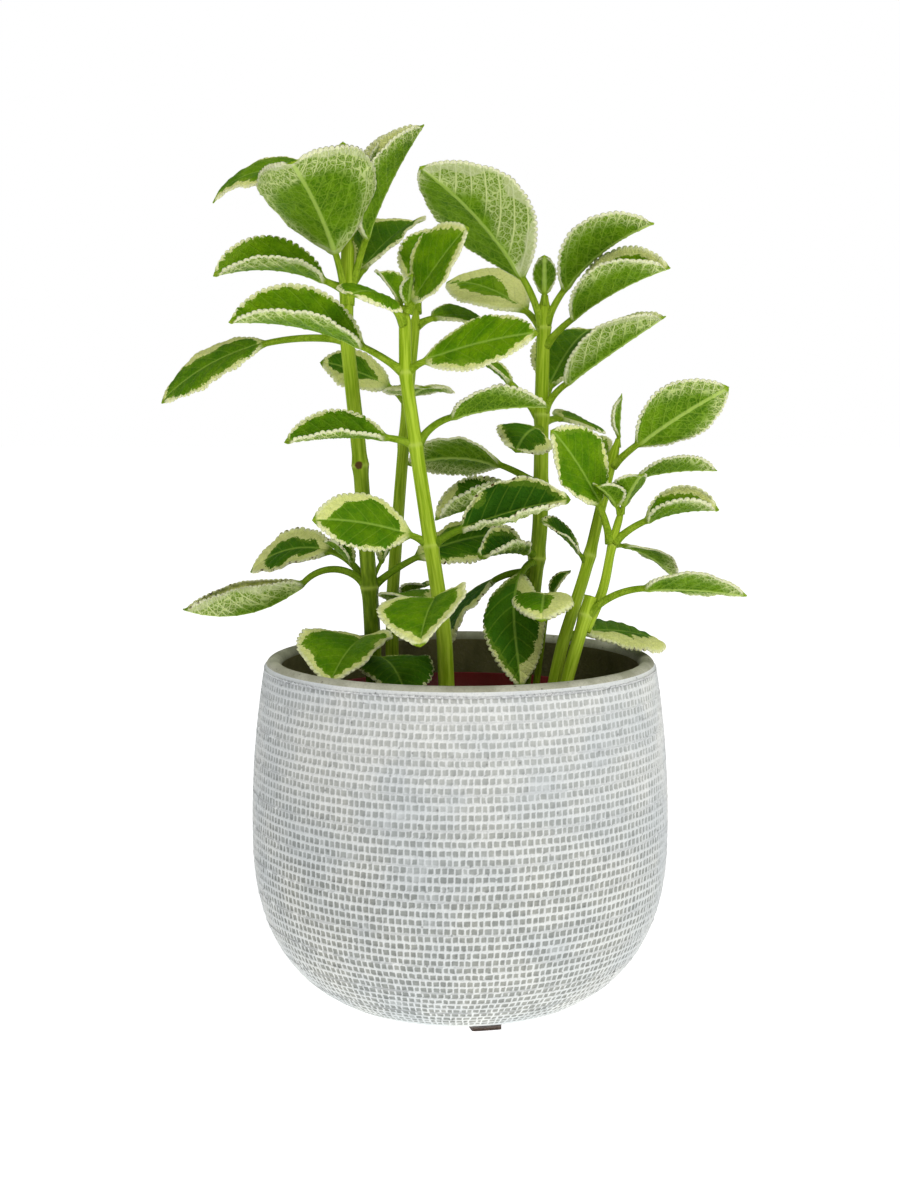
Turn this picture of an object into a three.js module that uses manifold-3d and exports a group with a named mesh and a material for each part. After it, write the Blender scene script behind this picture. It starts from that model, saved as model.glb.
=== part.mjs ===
// A potted variegated mint: a cement planter on three pads, a plastic nursery pot standing loose
// inside it, the soil in that pot, and seven rooted shoots, each one grown piece of stem and
// leaves. Millimetres, +Z up.
// The origin is the middle of the planter's flat base, which stands on the ground at z = 0.
// +X is the plant's right and -Y its front.
import * as THREE from "three";
import { mergeVertices } from "three/addons/utils/BufferGeometryUtils.js";
import Module from "manifold-3d";

const wasm = await Module();
wasm.setup();

// ---------------------------------------------------------------- clearances
const GAP = 0.3; // between two pieces that rest on or stand in one another
const CUT_PAST = 1; // how far a cut reaches past the face it opens

// ---------------------------------------------------------------- planter
const PLANTER_R = 80; // outside, at its widest
const PLANTER_H = 131;
const WIDEST_Z = PLANTER_H * 0.504;
const RIM_IN = 5.7; // how far the belly draws in from its widest to the rim
const RIM_R = PLANTER_R - RIM_IN; // outside, just under the rounded rim
const BELLY_DROP = 7; // the belly curve would close this far below the base
const BELLY_OUT = 2.8; // exponents of the belly curve
const BELLY_DOWN = 2.5;
const WALL = 6;
const FLOOR = 8;
const FOOT_ROUND = 2; // bevel between the belly and the flat base
const PLANTER_SIDES = 64;
const OUTER_RINGS = [0.04, 0.075, 0.13, 0.205, 0.305, 0.504, 0.7, 0.87]; // shares of its height
const INNER_RINGS = [0.79, 0.504, 0.305, 0.18];
const RIM_TURNS = [0, 45, 90, 135, 180]; // degrees over the rounded rim

// ---------------------------------------------------------------- pads
const PAD_W = 11.5;
const PAD_H = 2;
const PAD_IN = 13; // from the edge of the base towards the middle
const PAD_COUNT = 3;
const PAD_TURN = 281; // direction of the first pad, degrees
const NOTCH_OPEN = 6; // how far the notch of a pad runs out under the belly

// ---------------------------------------------------------------- nursery pot
const NURSERY_ROOM = 5.8; // between its rim and the mouth of the planter
const NURSERY_TAPER = 18.5;
const NURSERY_SUNK = 16; // how far its rim lies below the rim of the planter
const NURSERY_RIM_R = RIM_R - WALL - NURSERY_ROOM;
const NURSERY_BASE_R = NURSERY_RIM_R - NURSERY_TAPER;
const NURSERY_RIM_Z = PLANTER_H - NURSERY_SUNK;
const NURSERY_WALL = 1.5;
const LIP_H = 9; // the rolled band round its rim
const LIP_OUT = 2;
const LIP_BEVEL = 0.5;
const POT_BEVEL = 1; // at the foot of the pot and of the soil in it
const NURSERY_SIDES = 48;
const DRAIN_R = 4;
const DRAIN_RING = NURSERY_BASE_R - 14;
const DRAIN_COUNT = 6;
const DRAIN_SIDES = 12;

// ---------------------------------------------------------------- soil
const SOIL_BELOW_RIM = 14;
const SOIL_DOME = 3;
const SOIL_ROUND = 2; // its edge stands this far below where the dome begins
const SOIL_RINGS = [[0.8, 0.4], [0.4, 0.9]]; // shares of its radius and of the dome
const SOIL_SIDES = 40;
const SOIL_TOP = NURSERY_RIM_Z - SOIL_BELOW_RIM;

// ---------------------------------------------------------------- stems and leaves
// The tables below are drawn for soil at this height in a nursery pot of this radius; the
// shoots rise, sink and spread with the real ones.
const DRAWN_SOIL = 101;
const DRAWN_RIM_R = 62.5;
const LIFT = SOIL_TOP - DRAWN_SOIL;
const SPREAD = NURSERY_RIM_R / DRAWN_RIM_R;
const STEM_FOOT = DRAWN_SOIL - 16; // how deep the stems reach
const STEM_POINTS = 8; // points round a stem, a stalk or a blade
const STALK_R = 1.5; // radius of a leaf stalk at its foot
const STALK_ROOT = 0.4; // how far out from the middle of the stem a stalk starts, in stem radii
const STALK_R_END = 1.2; // and where the blade starts
const BLADE_T = 1.3; // thickness of a blade along its midrib
const NODE_SWELL = 1.16; // how much thicker a stem is at its nodes
const NODE_HALF = 2.5; // and how far the swelling reaches above and below
const RING_LEAST = 1.5; // least height between two rings of a stem
const STEM_LOOK = 2; // its direction is taken over this much height to either side
const STEM_SQUARE = 0.03; // how much its corners stand out
const STEM_TIP = 0.6; // the top of a growing stem, as a share of its radius there
const BLADE_RINGS = [0.1, 0.25, 0.42, 0.6, 0.78, 0.92, 1];
const BLADE_BASE_POW = 0.9; // how the blade widens from its foot ...
const BLADE_TIP_POW = 0.85; // ... and narrows to its tip
const TIP_HALF_W = 0.7;
const TIP_FROM = 0.95; // share of the blade where its last bit thins ...
const TIP_THIN = 0.6; // ... to this share of its thickness
const FLATTEN = 6; // the round stalk is flat after this part (a sixth) of the blade
const OPEN_OVER = 3; // the fold comes in while the blade widens this far past its stalk
const MIDLINE_STEPS = 6;
const SECTION_STEPS = 4;

// Each stem: radius at the foot and at the top, the heights of its nodes, and the points it runs
// through, the first one at the foot.
const STEMS = {
  a: { r: [3.4, 2.5], nodes: [157, 204, 255, 270], path: [
    [-32, 8, STEM_FOOT], [-34, 6, 143], [-38, 3, 204], [-43, 0, 255], [-42, 0, 290]] },
  b: { r: [3.3, 2.3], nodes: [176, 213, 239], path: [
    [-4, -19, STEM_FOOT], [-6, -22, 144], [-11, -25, 176], [-20, -30, 238], [-20, -30, 262]] },
  c: { r: [3.4, 2.4], nodes: [168, 195, 223, 256], path: [
    [21, 9, STEM_FOOT], [26, 12, 135], [31, 9, 180], [31, 8, 222], [32, 8, 268]] },
  d: { r: [2.7, 2.0], nodes: [212, 228], path: [
    [-27, 30, STEM_FOOT], [-27, 30, 150], [-22, 28, 213], [-17, 25, 263]] },
  e: { r: [2.6, 1.8], nodes: [171, 194], path: [
    [27, -22, STEM_FOOT], [38, -18, 138], [47, -13, 165], [56, -8, 203], [59, -8, 214]] },
  f: { r: [2.4, 2.3], nodes: [150], cut: true, path: [
    [32, -31, STEM_FOOT], [38, -29, 122], [48, -25, 157]] },
  g: { r: [1.5, 1.2], nodes: [], path: [
    [25, -2, STEM_FOOT], [29, 0, 118], [33, -3, 152]] },
};
// The side shoot of stem f, grown from it as one piece.
const SIDE_SHOOT = { on: "f", r: [2.1, 1.4], nodes: [176], path: [
  [46, -25.5, 144], [53, -21.5, 158], [56, -20, 176], [60, -20, 190]] };

// One row a leaf: where it stands on its stem (height), which way it points (degrees from +X
// towards +Y), its pitch at the stem, at the foot of the blade and at the tip (degrees up),
// the lengths of its stalk and blade, the blade's width, how far each half is folded up from
// the midrib, how much more it turns on its way to the margin, its roll about the midrib, and
// how far the blade bends sideways.
const LEAVES = {
  a: {
    top_front: [264, 246, 82, 54, 30, 20, 45, 54, 18, 24, 18, 0],
    top_right: [264, 348, 80, 70, 54, 24, 48, 31, 40, 18, 26, 0],
    top_left: [286, 162, 80, 60, -50, 14, 58, 26, 15, -30, -30, 0],
    upper_left: [270, 199, 20, 22, -18, 7, 44, 25, 30, 34, -30, 0],
    upper_back: [269, 50, 50, 45, 20, 10, 40, 34, 25, -10, 0, 0],
    middle_left: [251, 172, 8, -12, -45, 30, 48, 27, 15, -30, -35, 0],
    lower_left: [157, 190, 58, -44, 20, 27, 50, 27, 44, 30, -8, 0],
    lower_right: [157, 14, 40, 25, 0, 20, 40, 24, 10, -30, 35, 0],
    lower_back: [157, 150, 66, 12, -40, 21, 42, 23, 15, -30, -40, 0],
    foot_front: [136, 255, 25, 0, -32, 11, 42, 38, 34, -30, 0, 0],
    foot_right: [127, 290, 35, 8, -45, 8, 34, 30, 20, -20, 0, 0],
    tip_right: [288, 24, 80, 72, 60, 5, 40, 18, 30, 20, 0, 0],
    tip_back: [288, 110, 85, 85, 80, 5, 32, 16, 30, 20, 0, 0],
    side_bud_left: [159, 158, 55, 45, 25, 8, 16, 12, 30, 20, 0, 0],
    side_bud_right: [159, 40, 60, 55, 40, 8, 14, 10, 30, 20, 0, 0],
  },
  b: {
    foot_back: [150, 128, 35, 12, -15, 8, 26, 22, 20, -20, 0, 0],
    foot_front: [155, 262, 20, 0, -35, 9, 40, 36, 32, -25, 14, 0],
    low_left: [176, 197, 40, 20, 0, 7, 38, 25, 14, -15, -54, 0],
    low_right: [176, 338, 36, 22, 10, 12, 44, 28, 30, 30, 58, 0],
    middle_left: [213, 188, 20, 8, -12, 9, 38, 20, 26, 30, -34, 0],
    middle_right: [213, 352, 62, 18, -5, 15, 37, 26, 20, 10, -10, 0],
    upper_left: [239, 190, 38, 26, -5, 16, 50, 30, 32, 34, -32, 0],
    upper_right: [239, 337, 40, 20, 5, 7, 45, 25, 10, -15, 50, 0],
    top_left: [256, 236, 50, 35, -20, 8, 27, 28, 15, -50, -20, 0],
    top_right: [260, 335, 65, 55, 45, 4, 34, 35, 20, -20, 50, 0],
    tip_left: [260, 138, 75, 60, 30, 3, 18, 14, 30, 0, 0, 0],
    tip_bud: [260, 320, 85, 80, 80, 2, 12, 8, 30, 0, 0, 0],
  },
  d: {
    top_back: [262, 72, 70, 60, 40, 8, 36, 24, 20, 0, 0, 0],
    top_right: [257, 25, 35, 15, -20, 7, 24, 22, 20, -30, 20, 0],
    middle_left: [228, 183, 50, 30, 10, 8, 29, 24, 15, -20, -40, 0],
    middle_right: [228, 282, 25, 12, 0, 8, 28, 28, 12, -30, 0, 0],
    side_bud: [146, 326, 50, 40, 10, 6, 14, 14, 20, 0, 0, 0],
  },
  c: {
    top_left: [256, 212, 76, 53, 28, 20, 60, 42, 15, -5, 22, 0],
    top_right: [257, 334, 70, 52, 16, 14, 44, 31, 24, 14, -12, 0],
    upper_right: [249, 332, 50, 35, 15, 14, 44, 32, 44, 20, 22, 0],
    upper_back: [255, 141, 55, 35, 0, 10, 42, 27, 15, -20, -30, 0],
    middle_right: [223, 332, 72, 34, 30, 14, 48, 27, 36, 30, 8, 0],
    middle_back: [225, 60, 60, 50, 15, 10, 44, 30, 15, -10, 0, 0],
    middle_left: [222, 165, 55, 45, 20, 16, 24, 20, 10, 0, 0, 0],
    middle_low: [220, 45, 15, 5, -30, 8, 27, 22, 10, -20, 20, 0],
    middle_front: [217, 250, 10, 0, -35, 6, 26, 22, 15, -40, -25, 0],
    low_left: [196, 168, 35, 20, -20, 16, 38, 28, 15, -30, 35, 0],
    low_front: [192, 200, 5, -5, -20, 5, 38, 26, 30, 34, -8, 0],
    foot_left: [169, 232, 20, 10, -10, 6, 30, 22, 34, 30, -28, 0],
    hang_front: [166, 240, 10, -40, -85, 11, 48, 24, 14, -22, 0, 70],
    hang_back: [162, 188, 10, -30, -80, 15, 36, 26, 10, -20, 0, 0],
    tip: [264, 265, 85, 85, 80, 4, 15, 12, 40, 0, 0, 0],
  },
  e: {
    top_right: [204, 338, 45, 37, 27, 12, 41, 26, 10, 0, -50, 0],
    upper_right: [194, 6, 40, 15, -5, 12, 32, 18, 20, 20, -10, 0],
    low_left: [168, 204, 60, 50, 25, 4, 22, 14, 20, 0, -30, 0],
    foot_right: [140, 47, 20, 0, -20, 8, 55, 28, 15, -40, 20, 0],
    tip: [211, 0, 88, 88, 85, 3, 17, 9, 40, 0, 0, 0],
    tip_left: [206, 115, 40, 25, 0, 4, 22, 14, 20, 0, 0, 0],
  },
  f: {
    side_left: [176, 200, 80, 64, 46, 15, 34, 31, 10, 0, -60, 0],
    side_right: [176, 348, 48, 25, -5, 14, 28, 20, 34, 34, 26, 0],
    side_back: [175, 33, 10, -10, -45, 4, 30, 18, 20, -20, 0, 0],
    foot_right: [150, 348, 50, 5, -10, 23, 38, 25, 15, -10, -25, 0],
    side_tip_right: [187, 300, 78, 60, 35, 3, 17, 15, 25, -10, 0, 0],
    side_tip_left: [187, 225, 75, 50, 20, 3, 15, 14, 25, -10, 0, 0],
  },
  g: {
    front: [150, 264, 60, 15, -45, 9, 27, 24, 15, -25, 0, 0],
    tip: [149, 20, 75, 65, 40, 5, 13, 10, 20, 0, 0, 0],
  },
};

// ---------------------------------------------------------------- helpers
const rad = (degrees) => (degrees * Math.PI) / 180;
const lerp = (a, b, t) => a + (b - a) * t;

// A geometry as a manifold-3d solid, and back.
function solidOf(geometry) {
  geometry.deleteAttribute("normal");
  geometry.deleteAttribute("uv");
  const merged = mergeVertices(geometry, 1e-4);
  return new wasm.Manifold(new wasm.Mesh({
    numProp: 3,
    vertProperties: new Float32Array(merged.attributes.position.array),
    triVerts: new Uint32Array(merged.index.array),
  }));
}

function geometryOf(solid) {
  const mesh = solid.getMesh();
  const geometry = new THREE.BufferGeometry();
  geometry.setAttribute("position", new THREE.BufferAttribute(mesh.vertProperties, 3));
  geometry.setIndex(new THREE.BufferAttribute(mesh.triVerts, 1));
  return geometry;
}

// A body turned about the Z axis from [radius, height] points, bottom first on the outside.
function turned(points, sides) {
  const geometry = new THREE.LatheGeometry(points.map(([r, z]) => new THREE.Vector2(r, z)), sides);
  geometry.rotateX(Math.PI / 2);
  return geometry;
}

// A closed body through rings of points, each ring counter-clockwise seen from the far end.
function lofted(rings) {
  const count = rings[0].length;
  const positions = rings.flat().flatMap((p) => [p.x, p.y, p.z]);
  const faces = [];
  for (let i = 0; i + 1 < rings.length; i++) {
    for (let j = 0; j < count; j++) {
      const a = i * count + j;
      const b = i * count + ((j + 1) % count);
      faces.push(a, b, a + count, b, b + count, a + count);
    }
  }
  const last = (rings.length - 1) * count;
  for (let j = 1; j + 1 < count; j++) {
    faces.push(0, j + 1, j, last, last + j, last + j + 1);
  }
  const geometry = new THREE.BufferGeometry();
  geometry.setAttribute("position", new THREE.Float32BufferAttribute(positions, 3));
  geometry.setIndex(faces);
  return geometry;
}

// ---------------------------------------------------------------- planter, pads, nursery pot
function bellyRadius(z) {
  if (z >= WIDEST_Z) {
    const t = (z - WIDEST_Z) / (PLANTER_H - WIDEST_Z);
    return PLANTER_R - (PLANTER_R - RIM_R) * t * t;
  }
  const t = (WIDEST_Z - z) / (WIDEST_Z + BELLY_DROP);
  return PLANTER_R * (1 - t ** BELLY_DOWN) ** (1 / BELLY_OUT);
}

function padPlace(mesh, index) {
  const reach = bellyRadius(FOOT_ROUND) - PAD_IN / 2;
  const turn = rad(PAD_TURN + (360 / PAD_COUNT) * index);
  mesh.rotation.z = turn;
  mesh.position.set(reach * Math.cos(turn), reach * Math.sin(turn), 0);
  return mesh;
}

// The pad, or with room round it and open outwards, the notch it stands in.
function padBox(room, height, open = 0) {
  const box = new THREE.BoxGeometry(PAD_IN + 2 * room + open, PAD_W + 2 * room, height);
  return box.translate(open / 2, 0, height / 2);
}

function planter() {
  const half = WALL / 2;
  const outer = [FOOT_ROUND, ...OUTER_RINGS.map((share) => share * PLANTER_H)]
    .map((z) => [bellyRadius(z), z]);
  const rim = RIM_TURNS.map((turn) => [
    RIM_R - half + half * Math.cos(rad(turn)),
    PLANTER_H - half + half * Math.sin(rad(turn)),
  ]);
  const inner = INNER_RINGS.map((share) => share * PLANTER_H)
    .map((z) => [bellyRadius(z) - WALL, z]);
  const profile = [
    [0, 0],
    [bellyRadius(0) - FOOT_ROUND, 0],
    ...outer,
    ...rim,
    ...inner,
    [bellyRadius(FLOOR + FOOT_ROUND) - WALL - FOOT_ROUND, FLOOR + FOOT_ROUND],
    [bellyRadius(FLOOR) - WALL - 2 * FOOT_ROUND, FLOOR],
    [0, FLOOR],
  ];
  let solid = solidOf(turned(profile, PLANTER_SIDES));
  for (let i = 0; i < PAD_COUNT; i++) {
    const cutter = padBox(GAP, PAD_H + GAP + CUT_PAST, NOTCH_OPEN).translate(0, 0, -CUT_PAST);
    const notch = padPlace(new THREE.Mesh(cutter), i);
    notch.updateMatrix();
    solid = solid.subtract(solidOf(notch.geometry.applyMatrix4(notch.matrix)));
  }
  return geometryOf(solid);
}

function nurseryRadius(z) {
  return lerp(NURSERY_BASE_R, NURSERY_RIM_R - LIP_OUT, (z - FLOOR) / (NURSERY_RIM_Z - FLOOR));
}

function nurseryPot() {
  const foot = FLOOR + GAP;
  const lip = NURSERY_RIM_Z - LIP_H;
  let solid = solidOf(turned([
    [0, foot],
    [nurseryRadius(foot) - POT_BEVEL, foot],
    [nurseryRadius(foot + POT_BEVEL), foot + POT_BEVEL],
    [nurseryRadius(lip), lip],
    [NURSERY_RIM_R - LIP_BEVEL, lip + LIP_BEVEL],
    [NURSERY_RIM_R, NURSERY_RIM_Z - LIP_BEVEL],
    [NURSERY_RIM_R - LIP_BEVEL, NURSERY_RIM_Z],
    [NURSERY_RIM_R - NURSERY_WALL, NURSERY_RIM_Z],
    [NURSERY_RIM_R - NURSERY_WALL, lip + NURSERY_WALL],
    [nurseryRadius(lip) - NURSERY_WALL, lip],
    [nurseryRadius(foot) - NURSERY_WALL, foot + NURSERY_WALL],
    [0, foot + NURSERY_WALL],
  ], NURSERY_SIDES));
  for (let i = 0; i < DRAIN_COUNT; i++) {
    const turn = (2 * Math.PI * i) / DRAIN_COUNT;
    const hole = new THREE.CylinderGeometry(DRAIN_R, DRAIN_R, 4 * NURSERY_WALL, DRAIN_SIDES);
    hole.rotateX(Math.PI / 2).translate(DRAIN_RING * Math.cos(turn), DRAIN_RING * Math.sin(turn), foot);
    solid = solid.subtract(solidOf(hole));
  }
  return geometryOf(solid);
}

// ---------------------------------------------------------------- stems
// A stem of the tables, moved to the real soil and spread with the real nursery pot.
function placed(stem) {
  return {
    ...stem,
    nodes: stem.nodes.map((z) => z + LIFT),
    path: stem.path.map(([x, y, z]) => [x * SPREAD, y * SPREAD, z + LIFT]),
  };
}

// The point of a stem at a height, and its radius there.
function stemAt(stem, z) {
  const path = stem.path;
  let i = 0;
  while (i + 2 < path.length && path[i + 1][2] < z) i++;
  const t = (z - path[i][2]) / (path[i + 1][2] - path[i][2]);
  const along = (z - path[0][2]) / (path[path.length - 1][2] - path[0][2]);
  return {
    point: new THREE.Vector3(lerp(path[i][0], path[i + 1][0], t), lerp(path[i][1], path[i + 1][1], t), z),
    radius: lerp(stem.r[0], stem.r[1], along),
  };
}

// A stem is roundish-square and a little thicker at each node. `grow` widens it, to cut its hole.
function stemBody(stem, grow = 0, foot = 0) {
  const path = stem.path;
  const low = path[0][2];
  const high = path[path.length - 1][2];
  const heights = new Set(path.map((p) => p[2]));
  for (const node of stem.nodes) {
    heights.add(node - NODE_HALF).add(node).add(node + NODE_HALF);
  }
  const sorted = [...heights].sort((a, b) => a - b)
    .filter((z, i, all) => !i || z - all[i - 1] > RING_LEAST);
  const rings = sorted.map((z, i) => {
    const here = stemAt(stem, z);
    const before = stemAt(stem, Math.max(low, z - STEM_LOOK)).point;
    const along = stemAt(stem, Math.min(high, z + STEM_LOOK)).point.sub(before).normalize();
    const side = new THREE.Vector3(0, 1, 0).cross(along).normalize();
    const other = along.clone().cross(side);
    const swell = stem.nodes.includes(z) ? NODE_SWELL : 1;
    const top = i === sorted.length - 1 && !stem.cut ? STEM_TIP : 1;
    return Array.from({ length: STEM_POINTS }, (_, j) => {
      const turn = (2 * Math.PI * j) / STEM_POINTS;
      const corner = j % 2 ? 1 + STEM_SQUARE : 1 - STEM_SQUARE;
      const radius = (here.radius * swell * top + grow) * corner;
      return here.point.clone()
        .addScaledVector(side, radius * Math.cos(turn))
        .addScaledVector(other, radius * Math.sin(turn));
    });
  });
  if (foot) rings[0].forEach((p) => { p.z -= foot; });
  return lofted(rings);
}

// ---------------------------------------------------------------- leaves
function bladeHalfWidth(v, width) {
  const a = BLADE_BASE_POW;
  const b = BLADE_TIP_POW;
  const peak = (a / (a + b)) ** a * (b / (a + b)) ** b;
  return ((width / 2) * v ** a * (1 - v) ** b) / peak;
}

// A leaf grown from a stem: a round stalk that flattens into a folded, curved blade.
function leafBody(stem, row) {
  const [z, azimuth, pitchFoot, pitchBlade, pitchTip, stalk, blade, width, fold, curl, roll, bend] = row;
  const from = stemAt(stem, z + LIFT);
  const heading = new THREE.Vector3(Math.cos(rad(azimuth)), Math.sin(rad(azimuth)), 0);
  const at = from.point.clone().addScaledVector(heading, from.radius * STALK_ROOT);

  const stops = [0, stalk * 0.5, stalk, ...BLADE_RINGS.map((v) => stalk + v * blade)];
  const rings = [];
  let s = 0;
  for (const stop of stops) {
    const step = (stop - s) / MIDLINE_STEPS;
    for (let k = 0; k < MIDLINE_STEPS; k++) at.addScaledVector(tangentAt(s + step * (k + 0.5)), step);
    s = stop;
    rings.push(ringAt(s));
  }
  return lofted(rings);

  function pitchAt(length) {
    if (length < stalk) return rad(lerp(pitchFoot, pitchBlade, length / stalk));
    return rad(lerp(pitchBlade, pitchTip, (length - stalk) / blade));
  }
  function headingAt(length) {
    return rad(azimuth + bend * Math.max(0, (length - stalk) / blade));
  }
  function tangentAt(length) {
    const pitch = pitchAt(length);
    const turn = headingAt(length);
    return new THREE.Vector3(
      Math.cos(pitch) * Math.cos(turn), Math.cos(pitch) * Math.sin(turn), Math.sin(pitch));
  }
  function ringAt(length) {
    const turn = headingAt(length);
    const tangent = tangentAt(length);
    const flat = new THREE.Vector3(-Math.sin(turn), Math.cos(turn), 0);
    const up = tangent.clone().cross(flat);
    const tilt = rad(roll) * Math.min(1, length / stalk);
    const side = flat.clone().multiplyScalar(Math.cos(tilt)).addScaledVector(up, Math.sin(tilt));
    const normal = tangent.clone().cross(side);
    const v = Math.max(0, (length - stalk) / blade);
    const round = lerp(STALK_R, STALK_R_END, Math.min(1, length / stalk));
    const least = v > 0.5 ? TIP_HALF_W : round;
    const half = v ? Math.max(least, bladeHalfWidth(v, width)) : round;
    const thick = lerp(round, BLADE_T / 2, Math.min(1, v * FLATTEN)) * (v > TIP_FROM ? TIP_THIN : 1);
    const open = Math.min(1, (half - least) / OPEN_OVER);
    return Array.from({ length: STEM_POINTS }, (_, j) => {
      const angle = (2 * Math.PI * j) / STEM_POINTS;
      const u = Math.cos(angle);
      const bent = rad(fold * open);
      const turnBy = rad(curl * open);
      let across = 0;
      let rise = 0;
      for (let k = 0; k < SECTION_STEPS; k++) {
        const w = ((k + 0.5) / SECTION_STEPS) * Math.abs(u);
        across += (Math.cos(bent + turnBy * w) * Math.abs(u) * half) / SECTION_STEPS;
        rise += (Math.sin(bent + turnBy * w) * Math.abs(u) * half) / SECTION_STEPS;
      }
      const lean = bent + turnBy * Math.abs(u);
      const offset = thick * Math.sin(angle);
      const x = Math.sign(u) * (across - offset * Math.sin(lean));
      const y = rise + offset * Math.cos(lean);
      return at.clone().addScaledVector(side, x).addScaledVector(normal, y);
    });
  }
}

// ---------------------------------------------------------------- soil
function soil() {
  const foot = FLOOR + GAP + NURSERY_WALL + GAP;
  const edge = (z) => nurseryRadius(z) - NURSERY_WALL - 2 * GAP;
  const brim = SOIL_TOP - SOIL_ROUND;
  let solid = solidOf(turned([
    [0, foot],
    [edge(foot) - POT_BEVEL, foot],
    [edge(brim), brim],
    ...SOIL_RINGS.map(([out, up]) => [edge(brim) * out, SOIL_TOP + SOIL_DOME * up]),
    [0, SOIL_TOP + SOIL_DOME],
  ], SOIL_SIDES));
  for (const stem of Object.values(STEMS)) {
    solid = solid.subtract(solidOf(stemBody(placed(stem), GAP, GAP)));
  }
  return geometryOf(solid);
}

// ---------------------------------------------------------------- the plant in its pots
const COLOURS = {
  cement: 0xd3d6d6,
  felt: 0x4a3a33,
  plastic: 0x5d0f1b,
  soil: 0x3b2a1f,
  shoot: 0x6fa52e,
};

const group = new THREE.Group();

function place(name, geometry, colour) {
  const material = new THREE.MeshStandardMaterial({ color: colour, roughness: 0.8 });
  const mesh = new THREE.Mesh(geometry, material);
  mesh.name = name;
  group.add(mesh);
  return mesh;
}

place("planter", planter(), COLOURS.cement);
for (let i = 0; i < PAD_COUNT; i++) {
  padPlace(place(`felt_pad_${i + 1}`, padBox(0, PAD_H), COLOURS.felt), i);
}
place("nursery_pot", nurseryPot(), COLOURS.plastic);
place("soil", soil(), COLOURS.soil);

for (const [name, stem] of Object.entries(STEMS)) {
  const main = placed(stem);
  const side = placed(SIDE_SHOOT);
  let solid = solidOf(stemBody(main));
  if (name === SIDE_SHOOT.on) solid = solid.add(solidOf(stemBody(side)));
  for (const [which, row] of Object.entries(LEAVES[name])) {
    const from = which.startsWith("side_") && name === SIDE_SHOOT.on ? side : main;
    solid = solid.add(solidOf(leafBody(from, row)));
  }
  place(`shoot_${name}`, geometryOf(solid), COLOURS.shoot);
}

export default group;
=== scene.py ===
"""Looks of a potted variegated mint: a whitewashed cement planter with rows of small sunk cells,
a dark red nursery pot with soil standing in it, and seven leafy shoots with cream-edged leaves.
Lengths are millimetres until a mesh is made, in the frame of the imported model."""

import math

import bpy
import numpy as np
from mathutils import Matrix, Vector


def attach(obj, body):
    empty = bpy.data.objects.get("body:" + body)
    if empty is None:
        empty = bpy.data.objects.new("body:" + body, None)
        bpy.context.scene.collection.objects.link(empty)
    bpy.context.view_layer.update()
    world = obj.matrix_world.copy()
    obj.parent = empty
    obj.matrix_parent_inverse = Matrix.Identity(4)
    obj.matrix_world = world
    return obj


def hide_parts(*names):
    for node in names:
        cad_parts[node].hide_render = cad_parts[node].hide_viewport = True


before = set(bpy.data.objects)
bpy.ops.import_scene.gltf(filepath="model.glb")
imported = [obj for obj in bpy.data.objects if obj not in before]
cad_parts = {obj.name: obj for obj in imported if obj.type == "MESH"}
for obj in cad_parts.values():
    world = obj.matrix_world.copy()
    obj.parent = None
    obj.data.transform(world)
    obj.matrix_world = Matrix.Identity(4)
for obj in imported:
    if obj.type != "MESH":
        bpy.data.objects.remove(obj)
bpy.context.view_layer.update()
MM = 0.001

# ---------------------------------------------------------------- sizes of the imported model
PLANTER_R = 80
PLANTER_H = 131
WIDEST_Z = 66
RIM_R = 74.3
BELLY_DROP = 7
BELLY_OUT = 2.8
BELLY_DOWN = 2.5
WALL = 6
FLOOR = 8
GAP = 0.3
PAD_W = 11.5
PAD_H = 2
PAD_IN = 13
PAD_TURN = 281
NURSERY_RIM_R = 62.5
NURSERY_BASE_R = 44
NURSERY_RIM_Z = 115
NURSERY_WALL = 1.5
LIP_H = 9
LIP_OUT = 2
SOIL_TOP = 101
SOIL_DOME = 3
STEM_FOOT = 85
STALK_R = 1.5
STALK_R_END = 1.2
STALK_ROOT = 0.4
BLADE_BASE_POW = 0.9
BLADE_TIP_POW = 0.85

STEMS = {
    "a": dict(r=(3.4, 2.5), nodes=(157, 204, 255, 270), path=(
        (-32, 8, 85), (-34, 6, 143), (-38, 3, 204), (-43, 0, 255), (-42, 0, 290))),
    "b": dict(r=(3.3, 2.3), nodes=(176, 213, 239), path=(
        (-4, -19, 85), (-6, -22, 144), (-11, -25, 176), (-20, -30, 238), (-20, -30, 262))),
    "c": dict(r=(3.4, 2.4), nodes=(168, 195, 223, 256), path=(
        (21, 9, 85), (26, 12, 135), (31, 9, 180), (31, 8, 222), (32, 8, 268))),
    "d": dict(r=(2.7, 2.0), nodes=(212, 228), path=(
        (-27, 30, 85), (-27, 30, 150), (-22, 28, 213), (-17, 25, 263))),
    "e": dict(r=(2.6, 1.8), nodes=(171, 194), path=(
        (27, -22, 85), (38, -18, 138), (47, -13, 165), (56, -8, 203), (59, -8, 214))),
    "f": dict(r=(2.4, 2.3), nodes=(150,), cut=True, path=(
        (32, -31, 85), (38, -29, 122), (48, -25, 157))),
    "g": dict(r=(1.5, 1.2), nodes=(), path=(
        (25, -2, 85), (29, 0, 118), (33, -3, 152))),
}
SIDE_SHOOT = dict(on="f", r=(2.1, 1.4), nodes=(176,), path=(
    (46, -25.5, 144), (53, -21.5, 158), (56, -20, 176), (60, -20, 190)))

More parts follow.
